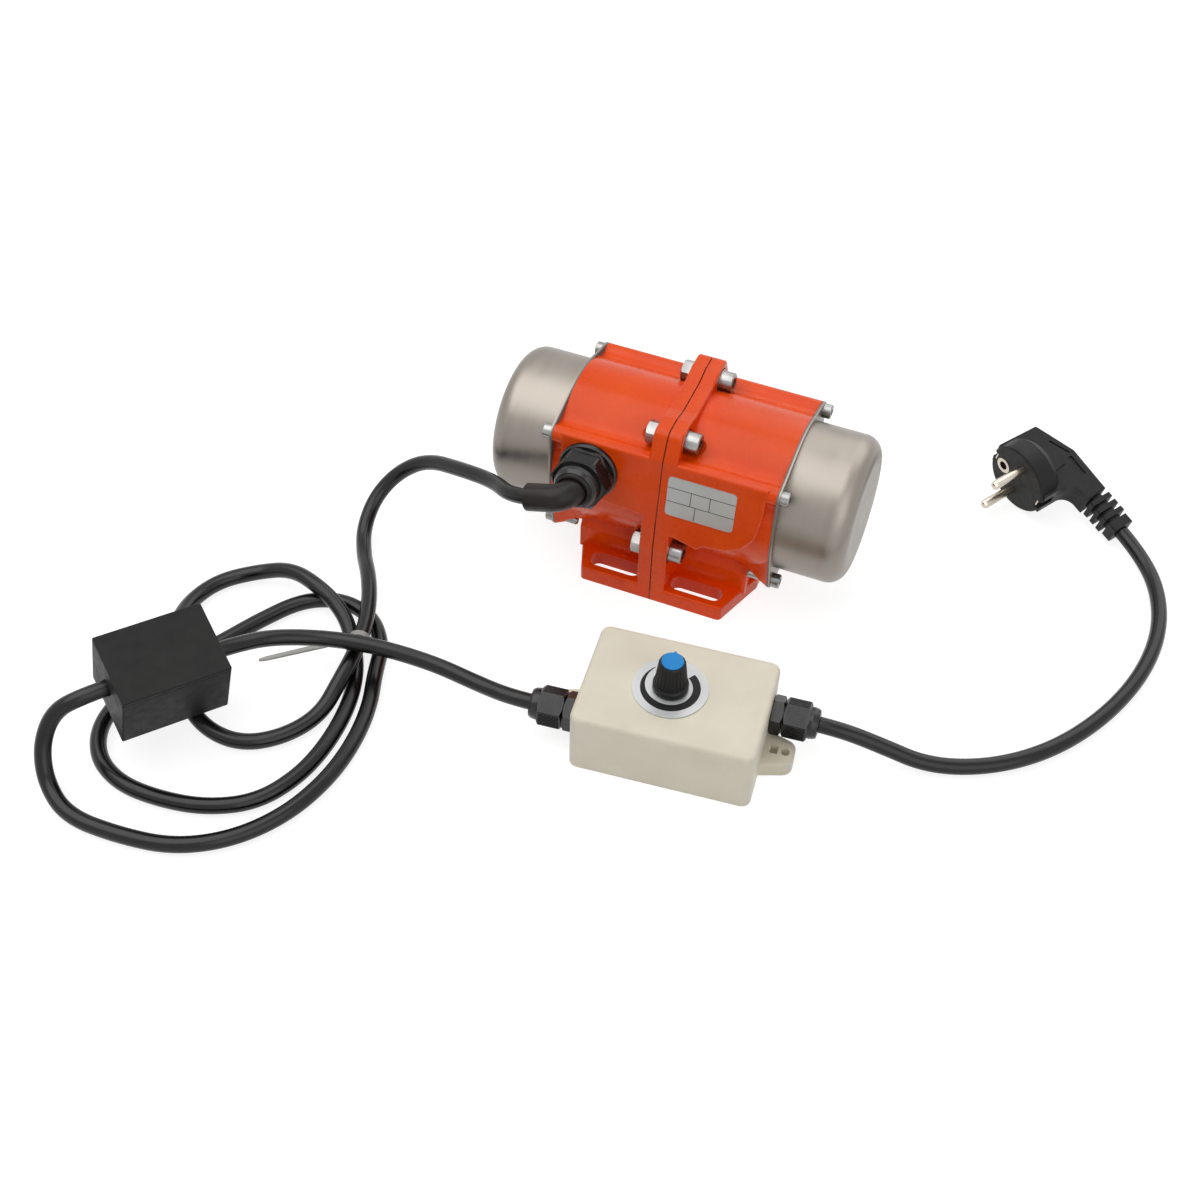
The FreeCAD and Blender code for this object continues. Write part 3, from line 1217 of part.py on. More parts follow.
pot_nut = hex_nut("pot_nut", "pot_nut_flats", "pot_nut_height", "bushing_radius + thread_gap")
pot_nut.Placement = Placement(Vector(mm("knob_x"), 0, mm(dial_top)), Rotation())
node(pot_nut, "potentiometer_nut", CONTROLLER)
knob_bottom = f"{dial_top} + knob_lift - 0.5"
knob_top = f"{knob_bottom} + knob_height"
knob_cavity_top = f"{dial_top} + pot_nut_height + 1.6"
shaft_top = f"{shaft_foot} + pot_shaft_length"
node(turned("knob", [
    ("pot_nut_flats / 2 / cos(30) + 0.9", knob_bottom), ("knob_skirt_radius", knob_bottom),
    ("knob_skirt_radius", f"{knob_bottom} + knob_skirt_height - 0.7"),
    ("knob_skirt_radius - 0.5", f"{knob_bottom} + knob_skirt_height"),
    ("knob_waist_radius", f"{knob_bottom} + knob_skirt_height + 0.3"), ("knob_top_radius", f"{knob_top} - 0.6"),
    ("knob_top_radius - 0.5", knob_top), ("knob_cap_radius + 0.1", knob_top),
    ("knob_cap_radius + 0.1", f"{knob_top} - knob_cap_recess"), ("0", f"{knob_top} - knob_cap_recess"),
    ("0", f"{shaft_top} + 0.1"), ("pot_shaft_radius + seat_gap", f"{shaft_top} + 0.1"),
    ("pot_shaft_radius + seat_gap", knob_cavity_top), ("pot_nut_flats / 2 / cos(30) + 0.9", knob_cavity_top),
], ("knob_x", "0", "0")), "speed_knob", CONTROLLER)
cap_bottom = f"{knob_top} - knob_cap_recess"
cap_disc = cylinder("cap_disc", "knob_cap_radius", "knob_cap_thickness", ("knob_x", "0", cap_bottom))
pointer = prism("cap_pointer", "XY_Plane", [
    ("-1.6", "knob_cap_radius - 1"), ("1.6", "knob_cap_radius - 1"), ("0", "knob_cap_radius + 1.1"),
], "knob_cap_thickness - knob_cap_recess")
place(pointer, ("knob_x", "0", knob_top))
node(fuse("cap_with_pointer", [cap_disc, pointer]), "knob_cap", CONTROLLER)

locknuts = []
for word, side, towards in SIDES:
    spot = Vector(side * mm("box_length") / 2, side * mm("small_gland_offset"), mm("small_gland_height"))
    out = CONTROLLER.multiply(Placement(spot, TOWARDS[towards]))
    bore = "cord_radius + cord_play"
    body_hex = hex_nut("gland_hex_" + word, "small_gland_flats", "small_gland_hex_length", bore)
    stem = turned("gland_stem_" + word, [
        (bore, "-box_wall - locknut_height - 1"), ("small_gland_thread_radius", "-box_wall - locknut_height - 1"),
        ("small_gland_thread_radius", "small_gland_hex_length + small_gland_spigot"),
        (bore, "small_gland_hex_length + small_gland_spigot"),
    ])
    node(fuse("small_gland_" + word, [body_hex, stem]), "controller_gland_body_" + word, out)
    node(gland_nut("small_nut_" + word, "small_gland_flats", "small_gland_hex_length + 0.3", "small_gland_nut_length",
                   "small_gland_dome_radius", "small_gland_dome_length", bore, "small_gland_mouth_wall",
                   "small_gland_thread_radius + thread_gap"), "controller_gland_nut_" + word, out)
    locknut = hex_nut("locknut_" + word, "locknut_flats", "locknut_height", "small_gland_thread_radius + thread_gap")
    locknut.Placement = out.multiply(Placement(Vector(0, 0, -mm("box_wall + locknut_height")), Rotation()))
    locknuts.append(locknut)
doc.recompute()
node(solid("locknuts", Part.makeCompound([piece.Shape for piece in locknuts])), "controller_gland_locknuts")


# ---------------------------------------------------------------- capacitor box

shell_top = "capacitor_box_height - lid_thickness - lid_line"
case = prism("case_outside", "XY_Plane", rectangle("capacitor_box_length", "capacitor_box_width"), shell_top)
dress(case, "Fillet", "0.8", lambda edge: parallel(edge, Z))
room = block("case_inside", "capacitor_box_length - 2 * capacitor_box_wall", "capacitor_box_width - 2 * capacitor_box_wall",
             "capacitor_box_height", ("0", "0", "capacitor_box_wall"))
entries = [cylinder("cable_entry_" + word, "cord_radius + cord_play", "capacitor_box_wall + 2",
                    (f"{side} * (capacitor_box_length / 2 - capacitor_box_wall - 1)", "0", "cable_entry_height"), towards)
           for word, side, towards in SIDES]
node(cut("case", case, [room] + entries), "capacitor_box", CAPACITOR)
lid_top = prism("lid_top", "XY_Plane", rectangle("capacitor_box_length", "capacitor_box_width"), "lid_thickness")
dress(lid_top, "Fillet", "0.8", lambda edge: parallel(edge, Z))
dress(lid_top, "Fillet", "0.5", lambda edge: near(edge.BoundBox.ZMin, mm("lid_thickness")))
place(lid_top, ("0", "0", "capacitor_box_height - lid_thickness"))
lip_height = "capacitor_box_height - lid_thickness - lid_lip_depth"
lip_sides = ("capacitor_box_length - 2 * capacitor_box_wall - 0.3", "capacitor_box_width - 2 * capacitor_box_wall - 0.3")
lip_outside = block("lip_outside", *lip_sides, "lid_lip_depth + 0.5", ("0", "0", lip_height))
lip_inside = block("lip_inside", *(f"{length} - 3" for length in lip_sides), "lid_lip_depth", ("0", "0", lip_height))
node(fuse("lid", [lid_top, cut("lip", lip_outside, [lip_inside])]), "capacitor_lid", CAPACITOR)
capacitor = prism("capacitor", "XY_Plane", rectangle("capacitor_length", "capacitor_width"), "capacitor_height")
dress(capacitor, "Fillet", "2", lambda edge: parallel(edge, Z))
place(capacitor, ("0", "0", "capacitor_box_wall"))
node(capacitor, "run_capacitor", CAPACITOR)


# ---------------------------------------------------------------- mains plug

NECK_TOP = "(-plug_exit_depth + relief_rib_half)"
shoulder = prism("plug_shoulder", "XZ_Plane", [
    ("-plug_face_radius + 0.2", "-1.5"), ("-17.3", "-25.3"), ("-12.4", "-27.2"), ("3.9", "-plug_back - 0.6"),
    ("relief_start", "-plug_back"), ("relief_start + 1", NECK_TOP), ("plug_face_radius - 0.1", NECK_TOP),
    ("plug_face_radius - 0.1", "-1.5"),
], "2 * plug_half_width", midplane=True)
dress(shoulder, "Fillet", "plug_neck_round", lambda edge: parallel(edge, Y) and near(middle(edge).z, mm(NECK_TOP))
      and middle(edge).x < mm("plug_face_radius"))
dress(shoulder, "Fillet", "plug_edge_round", lambda edge: near(abs(middle(edge).y), mm("plug_half_width"))
      and middle(edge).z < -24)
collar = turned("plug_collar_ring", [
    ("0", "0"), ("plug_face_radius - 0.8", "0"), ("plug_face_radius", "-0.8"), ("plug_face_radius", "-plug_collar"),
    ("plug_face_radius - 2", "-plug_collar - 3"), ("0", "-plug_collar - 3"),
])
grip = prism("plug_grip", "XZ_Plane", [
    ("-17.4", "-2"), ("-17.2", "-11.7"), ("-10.7", "-16.5"), ("-10.4", "-24"), ("7.8", "-24"), ("8.8", "-14.8"),
    ("8.8", "-2"),
], "2 * (plug_half_width + plug_grip_height)", midplane=True)
core_of_grooves = block("groove_core", "60", "2 * (plug_half_width - plug_groove_depth)", "60", ("0", "0", "-50"))
grooves = []
for where, corners in {
    "slanting": [("-7.1", "-25.7"), ("3.5", "-30.3"), ("3.9", "-29.4"), ("-6.7", "-24.8")],
    "straight": [("5.7", "-29.6"), ("17.7", "-29.4"), ("17.7", "-27.0"), ("5.7", "-27.2")],
}.items():
    bar = prism(f"{where}_groove_bar", "XZ_Plane", corners, "2 * plug_half_width + 2", midplane=True)
    grooves.append(cut(where + "_groove", bar, [core_of_grooves]))


def relief_plate(name, start, thickness, half):
    """One square plate of the strain relief, its corners rounded."""
    plate = prism(name, "YZ_Plane", rectangle(f"2 * {half}", f"2 * {half}"), thickness)
    dress(plate, "Fillet", "relief_rib_round", lambda edge: parallel(edge, X))
    return place(plate, (start, "0", "-plug_exit_depth"))


RIBS = 3
relief = [cylinder("relief_core", "relief_core_radius", "plug_exit_reach - relief_start",
                   ("relief_start", "0", "-plug_exit_depth"), "X")]
relief += [relief_plate(f"relief_rib_{step}", f"relief_start + 2.4 + {step - 1} * relief_rib_pitch", "relief_rib_width",
                        "relief_rib_half") for step in range(1, RIBS + 1)]
relief.append(relief_plate("relief_end", "plug_exit_reach - relief_end_length", "relief_end_length", "relief_end_half"))
plug_tools = [cylinder("earth_hole", "earth_socket_radius + earth_sleeve_wall + seat_gap", "earth_socket_depth + 1",
                       ("-earth_socket_offset", "0", "-earth_socket_depth"))]
clip_back = "(earth_clip_reach - earth_clip_thickness - 0.1)"
rim = "(plug_face_radius + 1)"
for word, side, towards in SIDES:
    at = (f"{side} * ({clip_back} + {rim}) / 2", "0", "-earth_clip_length - 1")
    plug_tools.append(block("clip_seat_" + word, f"{rim} - {clip_back}", "earth_clip_width + 0.4",
                            "earth_clip_length + 2", at))
node(cut("plug", fuse("plug_moulding", [shoulder, collar, grip] + relief), plug_tools + grooves), "plug_body", PLUG)
pin = turned("plug_pin", [("0", "0"), ("pin_radius", "0"), ("pin_radius", "pin_length - 1.6"),
                          ("pin_radius - 0.5", "pin_length - 0.5"), ("pin_radius - 1.3", "pin_length"), ("0", "pin_length")])
copies("plug_pins", pin, [PLUG.multiply(Placement(Vector(0, end * mm("pin_pitch") / 2, 0), Rotation())) for end in (-1, 1)])
node(turned("earth_sleeve", [
    ("earth_socket_radius", "-earth_socket_depth + 0.5"), ("earth_socket_radius + earth_sleeve_wall", "-earth_socket_depth + 0.5"),
    ("earth_socket_radius + earth_sleeve_wall", "0"), ("earth_socket_radius + 1.9", "0"),
    ("earth_socket_radius + 1.9", "0.4"), ("earth_socket_radius", "0.4"),
], ("-earth_socket_offset", "0", "0")), "earth_socket", PLUG)
clips = [block("clip_" + word, "earth_clip_thickness", "earth_clip_width", "earth_clip_length + 0.6",
               (f"{side} * (earth_clip_reach - earth_clip_thickness / 2)", "0", "-earth_clip_length - 1"))
         for word, side, towards in SIDES]
doc.recompute()
node(solid("clips", Part.makeCompound([clip.Shape for clip in clips])), "earth_clips", PLUG)


# ---------------------------------------------------------------- check and write

doc.recompute()
failed = [item.Name for item in doc.Objects if {"Invalid", "Error"} & set(item.State)]
if failed:
    raise RuntimeError("not computed: " + ", ".join(failed))
os.makedirs("parts", exist_ok=True)
for label, item in nodes.items():
    shape = item.Shape
    if shape.isNull() or not shape.isValid() or not shape.Solids:
        raise RuntimeError("no valid solid: " + label)
    shape.exportStep(f"parts/{label}.step")
    print(f"{label}: {len(shape.Solids)} solid(s), {shape.Volume / 1000:.2f} cm3")
print(len(nodes), "nodes")
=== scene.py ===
# %% [markdown]
# # A vibration motor with its speed controller
#
# The motor is a cast housing in two halves, painted orange.  Inside, a mains motor turns weights
# that sit off centre, and that shakes whatever the foot is bolted to.  A dial on a small beige box
# sets the speed.  The solid parts come from a CAD frame.  This lesson gives each of them a finish,
# lays the three cords, and adds the printed lines, the grips and the light.

import math

import bmesh
import bpy
from mathutils import Matrix, Vector


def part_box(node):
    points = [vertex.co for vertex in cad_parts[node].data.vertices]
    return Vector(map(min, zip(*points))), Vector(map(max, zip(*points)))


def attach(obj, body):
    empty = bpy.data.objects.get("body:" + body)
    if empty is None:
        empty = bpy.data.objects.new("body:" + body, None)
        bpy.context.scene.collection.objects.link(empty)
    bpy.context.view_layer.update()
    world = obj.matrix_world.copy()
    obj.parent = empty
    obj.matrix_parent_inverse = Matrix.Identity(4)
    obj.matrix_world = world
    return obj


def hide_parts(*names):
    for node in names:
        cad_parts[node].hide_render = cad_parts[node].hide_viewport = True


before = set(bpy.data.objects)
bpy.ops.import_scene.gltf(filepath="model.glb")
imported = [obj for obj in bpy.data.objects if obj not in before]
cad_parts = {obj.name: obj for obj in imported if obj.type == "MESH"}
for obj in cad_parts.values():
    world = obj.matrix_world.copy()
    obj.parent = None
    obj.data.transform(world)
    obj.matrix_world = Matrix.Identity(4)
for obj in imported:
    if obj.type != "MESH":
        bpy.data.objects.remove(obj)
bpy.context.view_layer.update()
ROOT = "motor_and_controller"
print("solid parts in the frame:", len(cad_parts))

# %% [markdown]
# ## Camera
#
# A camera is easiest to describe by how it is set up: how far round the object it stands, how
# steeply it looks down, how much it is tipped, what it points at and how far away it is.  Its three
# axes follow from those angles.  The last axis of a camera points backwards, away from its view.

# %% Place the camera
AZIMUTH, ELEVATION, TIP = (math.radians(angle) for angle in (20.4, 47.2, 2.1))
TARGET = Vector((-0.0217, -0.0530, 0.0))
DISTANCE = 0.8214
LENS_MM = 50.6

backwards = Vector((
    math.sin(AZIMUTH) * math.cos(ELEVATION),
    -math.cos(AZIMUTH) * math.cos(ELEVATION),
    math.sin(ELEVATION),
))
level = Vector((math.cos(AZIMUTH), math.sin(AZIMUTH), 0.0))
upright = backwards.cross(level)
sideways = level * math.cos(TIP) + upright * math.sin(TIP)
upwards = backwards.cross(sideways)
camera_data = bpy.data.cameras.new("camera")
camera_data.lens = LENS_MM
camera = bpy.data.objects.new("camera", camera_data)
bpy.context.scene.collection.objects.link(camera)
turn = Matrix((sideways, upwards, backwards)).transposed().to_4x4()
camera.matrix_world = Matrix.Translation(TARGET + backwards * DISTANCE) @ turn
bpy.context.scene.camera = camera
print("camera stands at", [round(value, 3) for value in camera.matrix_world.translation])

# %% [markdown]
# ## Routes of the cords
#
# Three round cords join the pieces.  The motor's lead leaves the gland, dives to the table, winds
# round in three loops that a tie holds, and climbs into the black box.  A short lead goes on from
# there to the controller, and the mains lead ends in the plug.  A route is a list of the corners
# of the way, in metres.  Where a lead passes over another, the corners rise and fall again.

# %% Write down the routes
MOTOR_LEAD = [
    (-0.0516, -0.0640, 0.0674), (-0.0631, -0.0640, 0.0638), (-0.0780, -0.0505, 0.0560),
    (-0.0995, -0.0420, 0.0485), (-0.1220, -0.0330, 0.0388), (-0.1370, -0.0360, 0.0282),
    (-0.1455, -0.0465, 0.0172), (-0.1450, -0.0620, 0.0091), (-0.1370, -0.0775, 0.0077),
    (-0.1265, -0.0920, 0.0122), (-0.1180, -0.1075, 0.0123), (-0.1125, -0.1230, 0.0122),
    (-0.1090, -0.1395, 0.0128), (-0.1085, -0.1555, 0.0109), (-0.1100, -0.1720, 0.0043),
    (-0.1190, -0.1890, 0.0038), (-0.1345, -0.2005, 0.0038), (-0.1520, -0.2015, 0.0071),
    (-0.1675, -0.1930, 0.0118), (-0.1820, -0.1715, 0.0129), (-0.1955, -0.1540, 0.0100),
    (-0.2005, -0.1360, 0.0046), (-0.1955, -0.1180, 0.0038), (-0.1810, -0.1060, 0.0048),
    (-0.1625, -0.1030, 0.0117), (-0.1445, -0.1090, 0.0134), (-0.1290, -0.1145, 0.0080),
    (-0.1170, -0.1270, 0.0038), (-0.1070, -0.1430, 0.0038), (-0.1010, -0.1625, 0.0038),
    (-0.0995, -0.1850, 0.0038), (-0.1025, -0.2060, 0.0038), (-0.1125, -0.2255, 0.0038),
    (-0.1310, -0.2365, 0.0038), (-0.1520, -0.2405, 0.0038), (-0.1730, -0.2400, 0.0038),
    (-0.1900, -0.2310, 0.0038), (-0.1990, -0.2140, 0.0038), (-0.1970, -0.1935, 0.0038),
    (-0.1875, -0.1750, 0.0038), (-0.1750, -0.1540, 0.0038), (-0.1640, -0.1320, 0.0038),
    (-0.1515, -0.1125, 0.0038), (-0.1340, -0.1050, 0.0038), (-0.1160, -0.1095, 0.0038),
    (-0.1035, -0.1240, 0.0038), (-0.0990, -0.1405, 0.0038), (-0.0920, -0.1595, 0.0038),
    (-0.0890, -0.1815, 0.0038), (-0.0905, -0.2040, 0.0038), (-0.0980, -0.2270, 0.0038),
    (-0.1125, -0.2465, 0.0038), (-0.1330, -0.2595, 0.0038), (-0.1575, -0.2635, 0.0038),
    (-0.1835, -0.2635, 0.0038), (-0.1990, -0.2545, 0.0080), (-0.2050, -0.2450, 0.0200),
    (-0.2025, -0.2355, 0.0330), (-0.1922, -0.2279, 0.0399), (-0.1845, -0.2175, 0.0387),
]
CONTROLLER_LEAD = [
    (-0.1567, -0.1799, 0.0345), (-0.1513, -0.1727, 0.0336), (-0.1415, -0.1565, 0.0271),
    (-0.1205, -0.1435, 0.0222), (-0.0980, -0.1380, 0.0208), (-0.0720, -0.1330, 0.0155),
    (-0.0475, -0.1350, 0.0138), (-0.0303, -0.1385, 0.0170), (-0.0184, -0.1372, 0.0170),
]
MAINS_LEAD = [
    (0.0988, -0.0996, 0.0170), (0.1107, -0.0983, 0.0170), (0.1290, -0.0945, 0.0105),
    (0.1520, -0.0920, 0.0038), (0.1775, -0.0820, 0.0038), (0.2010, -0.0620, 0.0038),
    (0.2195, -0.0335, 0.0038), (0.2315, -0.0010, 0.0038), (0.2350, 0.0310, 0.0038),
    (0.2290, 0.0600, 0.0038), (0.2152, 0.0805, 0.0051), (0.2047, 0.0874, 0.0084),
]
print("corners:", len(MOTOR_LEAD), len(CONTROLLER_LEAD), len(MAINS_LEAD))

# %% [markdown]
# ## Cords
#
# A cord could be a mesh tube, but a curve with a round bevel keeps its route easy to change.  The
# spline is a NURBS with the corners as its control points, and an order of three bends it smoothly
# inside them.  The order is set after the points, because before them it would stay at straight
# runs.  A tube is as thick as its bevel times the radius of its control points.  Here the bevel is
# one metre and the points carry the cord's radius, because Blender also adds the points' radius to
# the box that it measures round a curve, and a radius of one would make that box metres wide.

# %% Lay the cords
CORD_RADIUS = 0.00375


def smooth_curve(name, points, radius):
    """A round cord on a NURBS spline through the control points."""
    data = bpy.data.curves.new(name, "CURVE")
    data.dimensions = "3D"
    data.bevel_depth = 1.0
    data.bevel_resolution = 6
    data.resolution_u = 10
    data.use_fill_caps = True
    spline = data.splines.new("NURBS")
    spline.points.add(len(points) - 1)
    for control, place in zip(spline.points, points):
        control.co = (*place, 1.0)
        control.radius = radius
    spline.order_u = 3
    spline.use_endpoint_u = True
    cord = bpy.data.objects.new(name, data)
    bpy.context.scene.collection.objects.link(cord)
    return cord


BOX_NODES = ["capacitor_box", "capacitor_lid", "run_capacitor"]
CONTROLLER_NODES = [
    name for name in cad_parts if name.startswith("controller_") and name != "controller_lead"
] + ["control_board", "board_components", "speed_potentiometer", "potentiometer_shaft",
     "potentiometer_nut", "dial_ring", "speed_knob", "knob_cap"]
PLUG_NODES = ["plug_body", "plug_pins", "earth_socket", "earth_clips"]
LEADS = {
    "motor_lead": (MOTOR_LEAD, 1.159, "fitting", BOX_NODES + ["cable_tie"]),
    "controller_lead": (CONTROLLER_LEAD, 0.158, "fitting", CONTROLLER_NODES),
    "mains_lead": (MAINS_LEAD, 0.28, "plug", PLUG_NODES),
}
cords = {}
for name, (points, length, far_end, pieces) in LEADS.items():
    cord = smooth_curve(name.replace("_", "-"), points, CORD_RADIUS)
    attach(cord, ROOT)
    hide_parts(name)
    cords[name] = cord
    print(f"{name}: {length:.3f} m")

# %% [markdown]
# ## Tools for finishes
#
# Every finish here is procedural: noise and waves, worked out from a point's place on the object,
# vary its colour, roughness and bump.  Image textures would need files and unwrapped meshes, and
# they blur close up.  A few helpers keep each finish down to the lines that say what it is.

# %% Start a material


def colour(red, green, blue):
    """A colour given as on screen, from 0 to 255, in the linear values that a shader wants."""
    shares = [part / 255 for part in (red, green, blue)]
    linear = [((part + 0.055) / 1.055) ** 2.4 if part > 0.04 else part / 12.92 for part in shares]
    return (*linear, 1.0)


def finish(name, **sockets):
    """Start a material and set plain values on its shader."""
    material = bpy.data.materials.new(name)
    material.use_nodes = True
    tree = material.node_tree
    shader = tree.nodes["Principled BSDF"]
    for socket, value in sockets.items():
        shader.inputs[socket.replace("_", " ")].default_value = value
    return material, tree, shader


def wear(name, material):
    """Put one finish on a CAD piece."""
    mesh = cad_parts[name].data
    mesh.materials.clear()
    mesh.materials.append(material)


print("white in linear values:", colour(255, 255, 255))

# %% [markdown]
# ## Patterns in a material
#
# A pattern starts from a place on the object, which moves with it, so that a finish stays put when
# a joint turns.  Noise turns the place into soft random grains.

# %% Find places and make grains


def join(tree, value, socket):
    """Feed a socket from another socket, or set it to a plain value."""
    if isinstance(value, bpy.types.NodeSocket):
        tree.links.new(value, socket)
    else:
        socket.default_value = value


def maths(tree, operation, *values):
    """One sum on one or two numbers."""
    node = tree.nodes.new("ShaderNodeMath")
    node.operation = operation
    for value, socket in zip(values, node.inputs):
        join(tree, value, socket)
    return node.outputs["Value"]


def place_on_object(tree, stretch=(1.0, 1.0, 1.0)):
    """Where a point is on the object, in metres, scaled along each axis."""
    where = tree.nodes.new("ShaderNodeTexCoord")
    scaled = tree.nodes.new("ShaderNodeVectorMath")
    scaled.operation = "MULTIPLY"
    tree.links.new(where.outputs["Object"], scaled.inputs[0])
    scaled.inputs[1].default_value = stretch
    return scaled.outputs["Vector"]


def along_shaft(tree):
    """How far along the shaft a point is."""
    parts = tree.nodes.new("ShaderNodeSeparateXYZ")
    tree.links.new(place_on_object(tree), parts.inputs["Vector"])
    return parts.outputs["X"]


def noise(tree, per_metre, detail=3.0, stretch=(1.0, 1.0, 1.0), place=None):
    """Soft random grains, so many to the metre."""
    texture = tree.nodes.new("ShaderNodeTexNoise")
    texture.inputs["Scale"].default_value = per_metre
    texture.inputs["Detail"].default_value = detail
    tree.links.new(place or place_on_object(tree, stretch), texture.inputs["Vector"])
    return texture.outputs["Fac"]


print("a place on the object and its grains are ready")

# %% [markdown]
# ## From a pattern to a surface
#
# A pattern is only a grey value.  A range maps it to useful numbers, a mix turns those numbers into
# a blend of two colours, and a bump node makes the light fall as if the surface rose and sank.
# Real relief would need millions of faces for grains as small as these.

# %% Use the patterns


def spread(tree, source, low, high, start=0.3, end=0.7):
    """Map a number that runs from start to end to one that runs from low to high."""
    ramp = tree.nodes.new("ShaderNodeMapRange")
    tree.links.new(source, ramp.inputs["Value"])
    limits = {"From Min": start, "From Max": end, "To Min": low, "To Max": high}
    for socket, value in limits.items():
        ramp.inputs[socket].default_value = value
    return ramp.outputs["Result"]


def mixed(tree, amount, first, second):
    """Blend two colours, or a colour into what an earlier blend gave."""
    mix = tree.nodes.new("ShaderNodeMix")
    mix.data_type = "RGBA"
    tree.links.new(amount, mix.inputs["Factor"])
    for letter, value in (("A", first), ("B", second)):
        join(tree, value, next(
            socket for socket in mix.inputs if socket.name == letter and socket.type == "RGBA"))
    return next(socket for socket in mix.outputs if socket.type == "RGBA")


def relief(tree, shader, height, depth, strength=1.0):
    """Raise and sink the surface by a texture; depth is in metres.  Calls add up."""
    bump = tree.nodes.new("ShaderNodeBump")
    bump.inputs["Strength"].default_value = strength
    bump.inputs["Distance"].default_value = depth
    tree.links.new(height, bump.inputs["Height"])
    normal = shader.inputs["Normal"]
    if normal.is_linked:
        tree.links.new(normal.links[0].from_socket, bump.inputs["Normal"])
    tree.links.new(bump.outputs["Normal"], normal)


def feed(tree, shader, socket, source):
    """Drive one of the shader's sockets by a pattern."""
    tree.links.new(source, shader.inputs[socket])


print("ranges, mixes and relief are ready")

# %% [markdown]
# ## Orange enamel
#
# The housing is die-cast and sprayed with a thick gloss enamel.  Sprayed paint is never quite
# flat: it has a faint orange-peel ripple, about a millimetre across, which breaks up reflections.
# Under it the casting itself waves slightly.  The colour shifts a little where the coat is thin.
# The two halves meet at the middle, and the joint shows as a thin dark line.

# %% Make the enamel
JOINT_HALF_WIDTH = 0.00028


def orange_enamel():
    """Gloss paint on a casting, with the dark line of its joint."""
    material, tree, shader = finish(
        "orange-enamel", Coat_Weight=0.1, Coat_Roughness=0.05, Specular_IOR_Level=0.2)
    patches = spread(tree, noise(tree, per_metre=45, detail=4), 0, 1)
    paint = mixed(tree, patches, colour(240, 74, 0), colour(248, 84, 3))
    from_joint = maths(tree, "ABSOLUTE", along_shaft(tree))
    joint_line = spread(tree, from_joint, 1, 0, JOINT_HALF_WIDTH * 0.7, JOINT_HALF_WIDTH)
    feed(tree, shader, "Base Color", mixed(tree, joint_line, paint, colour(30, 14, 10)))
    sheen = spread(tree, noise(tree, per_metre=160, detail=3), 0.24, 0.34)
    feed(tree, shader, "Roughness", sheen)
    relief(tree, shader, noise(tree, per_metre=60, detail=2), depth=0.0004, strength=0.25)
    relief(tree, shader, noise(tree, per_metre=750, detail=2), depth=0.00005, strength=0.35)
    return material


ENAMEL = orange_enamel()
for name in ("housing_right", "housing_left"):
    wear(name, ENAMEL)
print("painted:", ENAMEL.name)

# %% [markdown]
# ## Spun steel caps
#
# The end caps are drawn from stainless sheet and polished while they spin, so fine lines run round
# them.  Lines like that come from noise that is stretched: it changes quickly along the shaft and
# outwards from it, and not at all round it.  Distance from the shaft gives the second direction.

# %% Make the spun steel
SHAFT_HEIGHT = (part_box("rotor_shaft")[0].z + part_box("rotor_shaft")[1].z) / 2
LINES_PER_METRE, BANDS_PER_METRE = 2500, 160


def about_shaft(tree, per_metre):
    """A place given only by how far along the shaft it is and how far out from it."""
    flat = tree.nodes.new("ShaderNodeVectorMath")
    flat.operation = "MULTIPLY_ADD"
    tree.links.new(place_on_object(tree), flat.inputs[0])
    flat.inputs[1].default_value = (0.0, 1.0, 1.0)
    flat.inputs[2].default_value = (0.0, 0.0, -SHAFT_HEIGHT)
    out = tree.nodes.new("ShaderNodeVectorMath")
    out.operation = "LENGTH"
    tree.links.new(flat.outputs["Vector"], out.inputs[0])
    joined = tree.nodes.new("ShaderNodeCombineXYZ")
    for source, axis in ((along_shaft(tree), "X"), (out.outputs["Value"], "Y")):
        tree.links.new(maths(tree, "MULTIPLY", source, per_metre), joined.inputs[axis])
    return joined.outputs["Vector"]


def spun_steel():
    """Satin steel with fine lines that run round the shaft."""
    material, tree, shader = finish("spun-steel", Metallic=1.0, Anisotropic=0.3)
    lines = noise(tree, 1.0, detail=3, place=about_shaft(tree, LINES_PER_METRE))
    bands = noise(tree, 1.0, detail=2, place=about_shaft(tree, BANDS_PER_METRE))
    tone = mixed(tree, bands, colour(136, 129, 121), colour(151, 144, 136))
    feed(tree, shader, "Base Color", tone)
    feed(tree, shader, "Roughness", spread(tree, bands, 0.36, 0.44))
    relief(tree, shader, lines, depth=0.00002, strength=0.5)
    return material


SPUN_STEEL = spun_steel()
for name in ("end_cap_right", "end_cap_left"):
    wear(name, SPUN_STEEL)
print("shaft height:", round(SHAFT_HEIGHT, 4))

# %% [markdown]
# ## Plain metals
#
# The bolts are zinc plated, which is bright with a faint cloudiness.  Turned, ground and milled
# steel differ mostly in how rough they are and in how strong their tool marks are.  One function
# with a few values makes the whole family.

# %% Make the metals


def metal(name, light, dark, rough, grain=400, marks=0.3):
    """A metal with a cloudy tone and fine marks; light and dark are screen colours."""
    material, tree, shader = finish(name, Metallic=1.0)
    cloud = spread(tree, noise(tree, per_metre=grain / 4, detail=3), 0, 1)
    feed(tree, shader, "Base Color", mixed(tree, cloud, colour(*dark), colour(*light)))
    patches = noise(tree, per_metre=grain, detail=4)
    feed(tree, shader, "Roughness", spread(tree, patches, rough * 0.8, rough * 1.25))
    relief(tree, shader, noise(tree, per_metre=grain * 4, detail=2), depth=0.00002, strength=marks)
    return material


